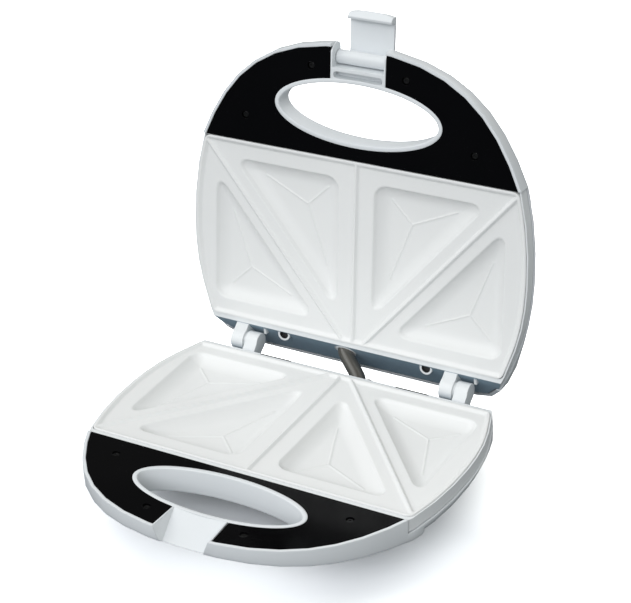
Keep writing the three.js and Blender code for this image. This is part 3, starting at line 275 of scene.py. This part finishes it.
# Mesh helpers
def make_mesh(name, vertices, faces, material, angle=SHARP_ANGLE):
    mesh = bpy.data.meshes.new(name)
    mesh.from_pydata([tuple(v) for v in vertices], [], faces)
    mesh.update()
    mesh.materials.append(material)
    mesh.polygons.foreach_set("use_smooth", [True] * len(mesh.polygons))
    piece = bpy.data.objects.new(name, mesh)
    bpy.context.scene.collection.objects.link(piece)
    if angle:
        split = piece.modifiers.new("edges", "EDGE_SPLIT")
        split.split_angle = math.radians(angle)
    return piece


def grid_faces(rows, columns, offset=0, flip=False):
    faces = []
    for i in range(rows - 1):
        for j in range(columns - 1):
            a = offset + i * columns + j
            quad = (a, a + 1, a + 1 + columns, a + columns)
            faces.append(quad[::-1] if flip else quad)
    return faces


# Materials
def nodes_of(name):
    material = bpy.data.materials.new(name)
    material.use_nodes = True
    tree = material.node_tree
    return material, tree, tree.nodes["Principled BSDF"]


def noise(tree, scale, detail=3.0):
    coordinates = tree.nodes.new("ShaderNodeTexCoord")
    texture = tree.nodes.new("ShaderNodeTexNoise")
    texture.inputs["Scale"].default_value = scale
    texture.inputs["Detail"].default_value = detail
    tree.links.new(coordinates.outputs["Object"], texture.inputs["Vector"])
    return texture


def vary(tree, texture, socket, low, high):
    spread = tree.nodes.new("ShaderNodeMapRange")
    spread.inputs["From Min"].default_value, spread.inputs["From Max"].default_value = BROAD_RANGE
    spread.inputs["To Min"].default_value = low
    spread.inputs["To Max"].default_value = high
    tree.links.new(texture.outputs["Fac"], spread.inputs["Value"])
    tree.links.new(spread.outputs["Result"], socket)


def tint(tree, texture, socket, first, second):
    ramp = tree.nodes.new("ShaderNodeValToRGB")
    for element, position, colour in zip(ramp.color_ramp.elements, BROAD_RANGE, (first, second)):
        element.position = position
        element.color = (*colour, 1)
    tree.links.new(texture.outputs["Fac"], ramp.inputs["Fac"])
    tree.links.new(ramp.outputs["Color"], socket)


def relief(tree, shader, texture, strength, distance, edge=0.0):
    bump = tree.nodes.new("ShaderNodeBump")
    bump.inputs["Strength"].default_value = strength
    bump.inputs["Distance"].default_value = distance
    tree.links.new(texture.outputs["Fac"], bump.inputs["Height"])
    if edge:
        round_edge = tree.nodes.new("ShaderNodeBevel")
        round_edge.samples = BEVEL_SAMPLES
        round_edge.inputs["Radius"].default_value = edge * MM
        tree.links.new(round_edge.outputs["Normal"], bump.inputs["Normal"])
    tree.links.new(bump.outputs["Normal"], shader.inputs["Normal"])


def moulded(name, first, second, roughness, grain, strength, edge, metallic=0.0, coat=0.0, gloss=0.5):
    """A surface with a slight change of colour, uneven gloss, a fine grain and edges softened by a radius."""
    material, tree, shader = nodes_of(name)
    shader.inputs["Specular IOR Level"].default_value = gloss
    shader.inputs["Metallic"].default_value = metallic
    shader.inputs["Coat Weight"].default_value = coat
    shader.inputs["Coat Roughness"].default_value = COAT_ROUGHNESS
    broad = noise(tree, BROAD_SCALE)
    tint(tree, broad, shader.inputs["Base Color"], first, second)
    low, high = roughness * (1 - GLOSS_SPREAD), roughness * (1 + GLOSS_SPREAD)
    vary(tree, broad, shader.inputs["Roughness"], low, high)
    relief(tree, shader, noise(tree, grain, GRAIN_DETAIL), strength, GRAIN_DEPTH * MM, edge)
    return material


def white_shell():
    return moulded("white_shell", (0.76, 0.79, 0.81), (0.775, 0.805, 0.825),
                   roughness=0.3, grain=1600, strength=0.03, edge=0.9)


def white_frame():
    return moulded("white_frame", (0.80, 0.825, 0.835), (0.815, 0.84, 0.85),
                   roughness=0.38, grain=1600, strength=0.05, edge=0.5)


def paint_apron_shade(material, normal, reach):
    """Paint shade on what faces along a direction and lies that far along it: the sloping rear face gets a
    slate-blue painted shade.
    """
    tree = material.node_tree
    shader = tree.nodes["Principled BSDF"]
    base = shader.inputs["Base Color"].links[0].from_socket
    coordinates = tree.nodes.new("ShaderNodeTexCoord")
    facing = tree.nodes.new("ShaderNodeVectorMath")
    facing.operation = "DOT_PRODUCT"
    facing.inputs[1].default_value = normal
    tree.links.new(coordinates.outputs["Normal"], facing.inputs[0])
    share = tree.nodes.new("ShaderNodeMapRange")
    share.inputs["From Min"].default_value, share.inputs["From Max"].default_value = APRON_FACING
    tree.links.new(facing.outputs["Value"], share.inputs["Value"])
    along = tree.nodes.new("ShaderNodeVectorMath")
    along.operation = "DOT_PRODUCT"
    along.inputs[1].default_value = normal
    tree.links.new(coordinates.outputs["Object"], along.inputs[0])
    in_plane = tree.nodes.new("ShaderNodeMath")
    in_plane.operation = "COMPARE"
    in_plane.inputs[1].default_value = reach
    in_plane.inputs[2].default_value = APRON_TOLERANCE * MM
    tree.links.new(along.outputs["Value"], in_plane.inputs[0])
    shade_mask = tree.nodes.new("ShaderNodeMath")
    shade_mask.operation = "MULTIPLY"
    tree.links.new(share.outputs["Result"], shade_mask.inputs[0])
    tree.links.new(in_plane.outputs["Value"], shade_mask.inputs[1])
    mix = tree.nodes.new("ShaderNodeMix")
    mix.data_type = "RGBA"
    mix.inputs["B"].default_value = (*APRON_SHADE_COLOUR, 1)
    tree.links.new(shade_mask.outputs["Value"], mix.inputs["Factor"])
    tree.links.new(base, mix.inputs["A"])
    tree.links.new(mix.outputs["Result"], shader.inputs["Base Color"])
    return material


def plate_coating():
    return moulded("plate_coating", (0.825, 0.835, 0.83), (0.84, 0.85, 0.845),
                   roughness=0.4, grain=2600, strength=0.05, edge=0.0)


def black_inlay():
    return moulded("black_inlay", (0.0012, 0.0012, 0.0016), (0.0018, 0.0018, 0.0022),
                   roughness=0.12, grain=900, strength=0.01, edge=0.4, gloss=0.1)


def steel():
    return moulded("steel", (0.45, 0.45, 0.44), (0.55, 0.55, 0.54),
                   roughness=0.3, grain=2200, strength=0.1, edge=0.3, metallic=1.0)


def dark_steel():
    return moulded("dark_steel", (0.003, 0.003, 0.003), (0.006, 0.006, 0.006),
                   roughness=0.25, grain=2200, strength=0.1, edge=0.2, gloss=0.3)


def aluminium():
    return moulded("aluminium", (0.6, 0.61, 0.62), (0.68, 0.69, 0.7),
                   roughness=0.35, grain=1200, strength=0.1, edge=0.2, metallic=1.0)


def rubber():
    return moulded("rubber", (0.03, 0.03, 0.032), (0.045, 0.045, 0.047),
                   roughness=0.7, grain=1800, strength=0.2, edge=0.4)


def sleeve():
    return moulded("sleeve", (0.055, 0.051, 0.043), (0.075, 0.07, 0.059),
                   roughness=0.26, grain=1400, strength=0.1, edge=0.0, coat=0.7, gloss=0.9)


def ceramic():
    return moulded("ceramic", (0.62, 0.58, 0.5), (0.7, 0.66, 0.58),
                   roughness=0.6, grain=1200, strength=0.1, edge=0.3)


def red_lens():
    return moulded("red_lens", (0.42, 0.01, 0.008), (0.5, 0.015, 0.01),
                   roughness=0.12, grain=700, strength=0.02, edge=0.3, coat=0.5)


def green_lens():
    return moulded("green_lens", (0.01, 0.22, 0.03), (0.015, 0.28, 0.04),
                   roughness=0.12, grain=700, strength=0.02, edge=0.3, coat=0.5)


def lamp_glass():
    return moulded("lamp_glass", (0.6, 0.4, 0.2), (0.66, 0.46, 0.26),
                   roughness=0.1, grain=700, strength=0.02, edge=0.3)


MATERIALS = {
    maker.__name__: maker()
    for maker in (white_shell, white_frame, plate_coating, black_inlay, steel, dark_steel, aluminium, rubber,
                  sleeve, ceramic, red_lens, green_lens, lamp_glass)
}


# Cooking plates, as one smooth surface each
def plate_half_width(y):
    """Half width of the plate at a list of y values, as if its corners were sharp."""
    side = inset_right(PLATE_INSET)
    return np.interp(y, side[:, 1], side[:, 0])


def diagonal_x(y):
    (x0, y0), (x1, y1) = DIAGONAL
    return lerp(x0, x1, (y - y0) / (y1 - y0))


def diagonal_y(x):
    (x0, y0), (x1, y1) = DIAGONAL
    return lerp(y0, y1, (x - x0) / (x1 - x0))


# Corners of the inner and the outer pocket of the right side
POCKETS = (
    (
        (POCKET_INNER_X, POCKET_FRONT_Y),
        (diagonal_x(POCKET_FRONT_Y) - POCKET_FROM_DIAGONAL, POCKET_FRONT_Y),
        (POCKET_INNER_X, diagonal_y(POCKET_INNER_X + POCKET_FROM_DIAGONAL)),
    ),
    (
        (POCKET_OUTER_X[0], diagonal_y(POCKET_OUTER_X[0] - POCKET_FROM_DIAGONAL)),
        (POCKET_OUTER_X[1], POCKET_REAR_Y),
        (diagonal_x(POCKET_REAR_Y) + POCKET_FROM_DIAGONAL, POCKET_REAR_Y),
    ),
)


def depth_in_triangle(x, y, corners, radius):
    """Distance inwards from a triangle whose corners are rounded by a radius, positive inside."""
    corners = np.array(corners)
    if np.cross(corners[1] - corners[0], corners[2] - corners[0]) < 0:
        corners = corners[::-1]
    distances = []
    for i in range(3):
        a, b = corners[i], corners[(i + 1) % 3]
        along = (b - a) / np.linalg.norm(b - a)
        distances.append(-(x - a[0]) * along[1] + (y - a[1]) * along[0])
    distances = np.stack(distances)
    shortfall = np.maximum(radius - distances, 0)
    return radius - np.sqrt((shortfall ** 2).sum(axis=0)) + np.maximum(distances.min(axis=0) - radius, 0)


def segment_distance(x, y, a, b):
    a, b = np.array(a, float), np.array(b, float)
    along = b - a
    t = np.clip(((x - a[0]) * along[0] + (y - a[1]) * along[1]) / (along @ along), 0, 1)
    return np.hypot(x - a[0] - t * along[0], y - a[1] - t * along[1])


def incentre(corners):
    corners = np.array(corners)
    sides = np.array([np.linalg.norm(corners[(i + 1) % 3] - corners[(i + 2) % 3]) for i in range(3)])
    return (corners * sides[:, None]).sum(axis=0) / sides.sum()


def plate_height(x, y, edge):
    """Height of the plate's upper surface, with edge the distance in from its outline."""
    x = np.abs(x)
    z = np.full(x.shape, LAND_Z)
    for corners in POCKETS:
        inside = depth_in_triangle(x, y, corners, POCKET_CORNER_R)
        hollow = 1 - (1 - np.clip(inside / POCKET_RUN, 0, 1)) ** POCKET_HOLLOW
        fall = smooth(inside / POCKET_EDGE) * hollow
        z = np.minimum(z, lerp(LAND_Z, POCKET_FLOOR, fall))
    for corners in POCKETS:
        middle = incentre(corners)
        for corner in np.array(corners):
            tip = lerp(middle, corner, STAR_REACH)
            away = segment_distance(x, y, middle, tip)
            z = np.maximum(z, POCKET_FLOOR + STAR_HEIGHT * np.clip(1 - away / STAR_HALF_WIDTH, 0, 1))
    lines = np.minimum(segment_distance(x, y, *DIAGONAL), x)
    crest = np.clip((RIDGE_HALF_FOOT - lines) / (RIDGE_HALF_FOOT - RIDGE_HALF_CREST), 0, 1)
    z = np.where(crest > 0, np.maximum(z, lerp(LAND_Z, RIDGE_Z, crest)), z)
    rim = 1 - smooth((edge - PLATE_RIM_CREST) / PLATE_RIM_RUN)
    z = np.where(rim > 0, np.maximum(z, lerp(LAND_Z, 0.0, rim)), z)
    round_over = np.clip(1 - edge / PLATE_EDGE_ROUND, 0, 1)
    return z - PLATE_EDGE_ROUND * (1 - np.sqrt(1 - round_over ** 2))


def corner_inset(y):
    """How far the rounded corners draw the sides in near the front and rear edges."""
    near = np.minimum(y - PLATE_FRONT_Y, PLATE_REAR_Y - y)
    t = np.clip(1 - near / PLATE_CORNER_R, 0, 1)
    return PLATE_CORNER_R * (1 - np.sqrt(1 - t ** 2))


def plate_surface(step, drop):
    """A grid of points over the plate, denser at its edges: the top, or with drop the underside."""
    rows = int((PLATE_REAR_Y - PLATE_FRONT_Y) / step)
    rim = np.array(EDGE_ROWS)
    inner = np.linspace(PLATE_FRONT_Y + EDGE_BAND, PLATE_REAR_Y - EDGE_BAND, rows)
    y = np.concatenate([PLATE_FRONT_Y + rim, inner, PLATE_REAR_Y - rim[::-1]])
    half = plate_half_width(y) - corner_inset(y)
    columns = int(2 * BELT[0] / step)
    s = np.linspace(-1, 1, columns)
    near = -np.array(EDGE_COLUMNS)
    s = np.concatenate([near, s[np.abs(s) < EDGE_COLUMNS_END], -near[::-1]])
    x = half[:, None] * s[None, :]
    yy = np.repeat(y[:, None], len(s), axis=1)
    edge = np.minimum(half[:, None] - np.abs(x), np.minimum(yy - PLATE_FRONT_Y, PLATE_REAR_Y - yy))
    z = plate_height(x, yy, edge)
    if drop:
        z = np.minimum(np.where(z < LAND_Z - POCKET_START, z - PLATE_WALL, PLATE_FOOT), PLATE_FOOT)
    return np.stack([x, yy, z], axis=2)


def make_plate(name, half, body):
    top = plate_surface(PLATE_STEP, False)
    under = plate_surface(PLATE_STEP * UNDER_COARSENESS, True)
    rows, columns = top.shape[:2]
    vertices = list(top.reshape(-1, 3))
    faces = grid_faces(rows, columns)
    border = (
        [(0, j) for j in range(columns)]
        + [(i, columns - 1) for i in range(1, rows)]
        + [(rows - 1, j) for j in range(columns - 2, -1, -1)]
        + [(i, 0) for i in range(rows - 2, 0, -1)]
    )
    first = len(vertices)
    for i, j in border:
        x, y, _ = top[i, j]
        vertices.append(np.array([x, y, PLATE_FOOT]))
    for k, (i, j) in enumerate(border):
        n = (k + 1) % len(border)
        i2, j2 = border[n]
        faces.append((first + k, first + n, i2 * columns + j2, i * columns + j))
    offset = len(vertices)
    vertices.extend(under.reshape(-1, 3))
    faces.extend(grid_faces(under.shape[0], under.shape[1], offset, flip=True))
    coating = MATERIALS["plate_coating"]
    piece = make_mesh(name, placed(vertices, half), faces, coating, SHARP_ANGLE_SOFT_FORMS)
    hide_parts(f"{'lower' if half == 'base' else 'upper'}_plate")
    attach(piece, body)


make_plate("plate_lower", "base", "base")
make_plate("plate_upper", "lid", "lid")


# Rims of the finger holes, as smooth ovals
def make_hole_rim(half, body):
    angle = np.linspace(0, 2 * math.pi, HOLE_STEPS, endpoint=False)
    a, b = HOLE_OUTER
    oval = np.stack([a * np.cos(angle), HOLE_Y + b * np.sin(angle)], axis=1)
    out = np.stack([np.cos(angle) / a, np.sin(angle) / b], axis=1)
    out /= np.linalg.norm(out, axis=1)[:, None]
    round_over = [
        (RIM_IN + RIM_ROUND * (1 - math.sin(t)), RIM_TOP - RIM_ROUND * (1 - math.cos(t)))
        for t in np.linspace(0, math.pi / 2, RIM_ROUND_STEPS + 1)
    ]
    chamfer_in, chamfer_down = RIM_CHAMFER
    outer_side = [
        (RIM_OUT, RIM_TOP - RIM_SIDE),
        (RIM_OUT, RIM_TOP - chamfer_down),
        (RIM_OUT - chamfer_in, RIM_TOP),
    ]
    rings = []
    for offset, height in outer_side + round_over:
        rings.append(np.column_stack([oval + offset * out, np.full(HOLE_STEPS, height)]))
    wall = oval + RIM_IN * out
    back = oval + (RIM_IN + RIM_WALL) * out
    foot = RIM_FOOT_GAP - HANDLE_DEPTH - HANDLE_SLOPE[half] * (wall[:, 1] - FRONT_Y)
    rings.append(np.column_stack([wall, foot]))
    rings.append(np.column_stack([back, foot]))
    rings.append(np.column_stack([back, np.full(HOLE_STEPS, RIM_TOP - RIM_SIDE)]))
    vertices = np.vstack(rings)
    faces = []
    for i in range(len(rings)):
        for j in range(HOLE_STEPS):
            k = (j + 1) % HOLE_STEPS
            below = ((i + 1) % len(rings)) * HOLE_STEPS
            faces.append((i * HOLE_STEPS + k, i * HOLE_STEPS + j, below + j, below + k))
    piece = make_mesh(f"hole_rim_{half}", placed(vertices, half), faces, MATERIALS["white_shell"])
    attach(piece, body)


make_hole_rim("base", "base")
make_hole_rim("lid", "lid")


# Painted shade inside the screw wells: black sleeves in the bores, in the rubber material for its near-black
# colour
def make_well_shade(side):
    angle = np.linspace(0, 2 * math.pi, WELL_SIDES, endpoint=False)
    circle = np.stack([np.cos(angle), np.sin(angle)], axis=1)
    centre = np.array([side * WELL_X, WELL_Y])
    outer = WELL_BORE_R + WELL_SHADE_OUT
    inner = WELL_BORE_R - WELL_SHADE_IN
    top = WELL_FACE_Z - WELL_SHADE_SUNK
    low = WELL_FACE_Z - WELL_SHADE_DEPTH
    levels = [(outer, low - WELL_SHADE_FLOOR), (outer, top), (inner, top), (inner, low)]
    rings = [np.column_stack([centre + r * circle, np.full(WELL_SIDES, z)]) for r, z in levels]
    faces = []
    for i in range(len(rings) - 1):
        for j in range(WELL_SIDES):
            a = i * WELL_SIDES + j
            b = i * WELL_SIDES + (j + 1) % WELL_SIDES
            faces.append((a, b, b + WELL_SIDES, a + WELL_SIDES))
    last = (len(rings) - 1) * WELL_SIDES
    faces.append(tuple(range(WELL_SIDES))[::-1])
    faces.append(tuple(range(last, last + WELL_SIDES)))
    name = "well_shade_left" if side < 0 else "well_shade_right"
    piece = make_mesh(name, placed(np.vstack(rings), "lid"), faces, MATERIALS["rubber"])
    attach(piece, "lid")


make_well_shade(-1)
make_well_shade(1)


# Painted shade of the slots in the ledge behind the lower plate: thin black strips in the rubber material,
# standing in for the shade in the slots
def make_ledge_slot_shade(side):
    x0, x1 = sorted(side * x for x in LEDGE_SLOT_X)
    y0, y1 = LEDGE_SLOT_Y
    levels = (LEDGE_SLOT_Z - LEDGE_SLOT_THICK, LEDGE_SLOT_Z)
    corners = [(x, y, z) for z in levels for y in (y0, y1) for x in (x0, x1)]
    faces = [(0, 2, 3, 1), (4, 5, 7, 6), (0, 1, 5, 4), (2, 6, 7, 3), (0, 4, 6, 2), (1, 3, 7, 5)]
    name = "ledge_slot_shade_left" if side < 0 else "ledge_slot_shade_right"
    piece = make_mesh(name, placed(corners, "base"), faces, MATERIALS["rubber"])
    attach(piece, "base")


make_ledge_slot_shade(-1)
make_ledge_slot_shade(1)


# Sleeve between the halves
def on_apron(half, x, depth):
    slope = math.radians(APRON_ANGLE)
    y = LEDGE_REAR_Y + CONDUIT_SLIDE * math.cos(slope) - depth * math.sin(slope)
    z = BAND_TOP - CONDUIT_SLIDE * math.sin(slope) - depth * math.cos(slope)
    return placed([(x, y, z)], half)[0] / MM


def smooth_route(points, steps):
    """A centripetal spline through the points, evenly stepped between each two."""
    points = [2 * points[0] - points[1], *points, 2 * points[-1] - points[-2]]
    route = []
    for a, b, c, d in zip(points, points[1:], points[2:], points[3:]):
        before, here, after = (math.sqrt(np.linalg.norm(q - p)) for p, q in ((a, b), (b, c), (c, d)))
        out = ((b - a) / before - (c - a) / (before + here) + (c - b) / here) * here
        into = ((c - b) / here - (d - b) / (here + after) + (d - c) / after) * here
        for t in np.arange(steps) / steps:
            route.append(
                (2 * t ** 3 - 3 * t ** 2 + 1) * b + (t ** 3 - 2 * t ** 2 + t) * out
                + (3 * t ** 2 - 2 * t ** 3) * c + (t ** 3 - t ** 2) * into)
    return np.array([*route, points[-2]])


def sleeve_route():
    """Out of the base, straight across and into the lid, leaning outwards inside each half."""
    ends = []
    for half, x in zip(("base", "lid"), CONDUIT_X):
        leans = ((CONDUIT_LEAN, CONDUIT_STUB), (CONDUIT_LEAN / 3, CONDUIT_STUB / 2), (0.0, 0.0))
        ends.append([on_apron(half, x + lean, depth) for lean, depth in leans])
    return smooth_route(ends[0] + ends[1][::-1], CONDUIT_STEPS), ends[0][2], ends[1][2]


def make_sleeve():
    route, start, end = sleeve_route()
    tangent = np.gradient(route, axis=0)
    tangent /= np.linalg.norm(tangent, axis=1)[:, None]
    across = np.cross(tangent, CONDUIT_SEAM)
    across /= np.linalg.norm(across, axis=1)[:, None]
    other = np.cross(tangent, across)
    angle = np.linspace(0, 2 * math.pi, CONDUIT_SIDES, endpoint=False)[None, :, None]
    spokes = np.cos(angle) * across[:, None, :] + np.sin(angle) * other[:, None, :]
    ring = route[:, None, :] + CONDUIT_R * spokes
    vertices = list(ring.reshape(-1, 3) * MM)
    faces = []
    for i in range(len(route) - 1):
        for j in range(CONDUIT_SIDES):
            a = i * CONDUIT_SIDES + j
            b = i * CONDUIT_SIDES + (j + 1) % CONDUIT_SIDES
            faces.append((a, b, b + CONDUIT_SIDES, a + CONDUIT_SIDES))
    last = (len(route) - 1) * CONDUIT_SIDES
    faces.append(tuple(range(CONDUIT_SIDES))[::-1])
    faces.append(tuple(range(last, last + CONDUIT_SIDES)))
    piece = make_mesh("conduit_sleeve", vertices, faces, MATERIALS["sleeve"], SHARP_ANGLE_SOFT_FORMS)
    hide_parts("interlink_conduit")
    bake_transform(piece)


make_sleeve()


# Materials of the nodes that stay
SLOTS = {entry["node"]: entry["material_slot"] for entry in frame["record"]["subparts"]}
for name, node in NODES.items():
    node.data.materials.clear()
    node.data.materials.append(MATERIALS[SLOTS[name]])
    weld = node.modifiers.new("weld", "WELD")
    weld.merge_threshold = WELD_DISTANCE * MM
    node.data.polygons.foreach_set("use_smooth", [True] * len(node.data.polygons))
    split = node.modifiers.new("edges", "EDGE_SPLIT")
    split.split_angle = math.radians(SHARP_ANGLE_NODES)


# Painted shade on the sloping rear face of each frame: a slate-blue copy of the white frame material for each
# half
def apron_normal(half):
    slope = math.radians(APRON_ANGLE)
    turn = PLACES[half].to_3x3()
    return tuple(turn @ Vector((0, math.sin(slope), math.cos(slope))))


for half in ("base", "lid"):
    normal = apron_normal(half)
    reach = float(np.dot(normal, on_apron(half, 0.0, 0.0))) * MM
    apron_shade_material = paint_apron_shade(MATERIALS["white_frame"].copy(), normal, reach)
    apron_shade_material.name = f"white_frame_{half}"
    NODES[f"{half}_frame"].data.materials[0] = apron_shade_material


# Floor, light and camera
def make_floor():
    """White where the camera sees it lit, and painted lighter towards the rear, a painted light that washes
    out the shadow of the halves behind them. It throws little light back, so undersides stay dark.
    """
    material, tree, shader = nodes_of("floor")
    shader.inputs["Roughness"].default_value = FLOOR_ROUGHNESS
    shader.inputs["Specular IOR Level"].default_value = 0.0
    path = tree.nodes.new("ShaderNodeLightPath")
    place = tree.nodes.new("ShaderNodeSeparateXYZ")
    coordinates = tree.nodes.new("ShaderNodeTexCoord")
    tree.links.new(coordinates.outputs["Object"], place.inputs["Vector"])
    rise = tree.nodes.new("ShaderNodeMapRange")
    near, far = FLOOR_PAINTED_LIGHT_RISE
    rise.inputs["From Min"].default_value = near * MM
    rise.inputs["From Max"].default_value = far * MM
    tree.links.new(place.outputs["Y"], rise.inputs["Value"])
    rear_painted_light = tree.nodes.new("ShaderNodeMix")
    rear_painted_light.data_type = "RGBA"
    rear_painted_light.inputs["A"].default_value = (*FLOOR_SEEN, 1)
    rear_painted_light.inputs["B"].default_value = (*FLOOR_REAR_PAINTED_LIGHT, 1)
    tree.links.new(rise.outputs["Result"], rear_painted_light.inputs["Factor"])
    seen = tree.nodes.new("ShaderNodeMix")
    seen.data_type = "RGBA"
    seen.inputs["A"].default_value = (*FLOOR_BOUNCE, 1)
    tree.links.new(rear_painted_light.outputs["Result"], seen.inputs["B"])
    tree.links.new(path.outputs["Is Camera Ray"], seen.inputs["Factor"])
    tree.links.new(seen.outputs["Result"], shader.inputs["Base Color"])
    reach = FLOOR_REACH * MM
    corners = [(-reach, -reach, 0), (reach, -reach, 0), (reach, reach, 0), (-reach, reach, 0)]
    floor = make_mesh("floor", corners, [(0, 1, 2, 3)], material, angle=0)


def make_world():
    world = bpy.data.worlds.new("studio")
    bpy.context.scene.world = world
    world.use_nodes = True
    tree = world.node_tree
    background = tree.nodes["Background"]
    path = tree.nodes.new("ShaderNodeLightPath")
    mix = tree.nodes.new("ShaderNodeMix")
    mix.data_type = "FLOAT"
    mix.inputs["A"].default_value = SKY
    mix.inputs["B"].default_value = SKY_GLOSS
    tree.links.new(path.outputs["Is Glossy Ray"], mix.inputs["Factor"])
    seen = tree.nodes.new("ShaderNodeMix")
    seen.data_type = "FLOAT"
    seen.inputs["B"].default_value = SKY_SEEN
    tree.links.new(mix.outputs["Result"], seen.inputs["A"])
    tree.links.new(path.outputs["Is Camera Ray"], seen.inputs["Factor"])
    tree.links.new(seen.outputs["Result"], background.inputs["Strength"])
    background.inputs["Color"].default_value = (*SKY_COLOUR, 1)


def add_sun(name, stand, strength, colour):
    light = bpy.data.lights.new(name, "SUN")
    light.angle = math.radians(SOFTNESS)
    light.energy = strength
    light.color = colour
    lamp = bpy.data.objects.new(name, light)
    lamp.location = stand
    lamp.rotation_euler = (-Vector(stand)).to_track_quat("-Z", "Y").to_euler()
    lamp.visible_glossy = name not in UNSEEN_LAMPS
    bpy.context.scene.collection.objects.link(lamp)


def make_camera():
    camera = bpy.data.cameras.new("camera")
    camera.lens = CAMERA_LENS
    camera.sensor_width = SENSOR
    camera.clip_start = CAMERA_CLIP * MM
    view = bpy.data.objects.new("camera", camera)
    place = Vector([(a + b) * MM for a, b in zip(CAMERA_AT, SHIFT)])
    turn = (
        Matrix.Rotation(math.radians(CAMERA_TURN), 4, "Z")
        @ Matrix.Rotation(math.radians(90 - CAMERA_DOWN), 4, "X")
        @ Matrix.Rotation(math.radians(CAMERA_ROLL), 4, "Z")
    )
    view.matrix_world = Matrix.Translation(place) @ turn
    bpy.context.scene.collection.objects.link(view)
    bpy.context.scene.camera = view


make_floor()
make_world()
for name, (stand, strength, colour) in LAMPS.items():
    add_sun(name, stand, strength, colour)
make_camera()
bpy.context.scene.view_settings.view_transform = "Standard"
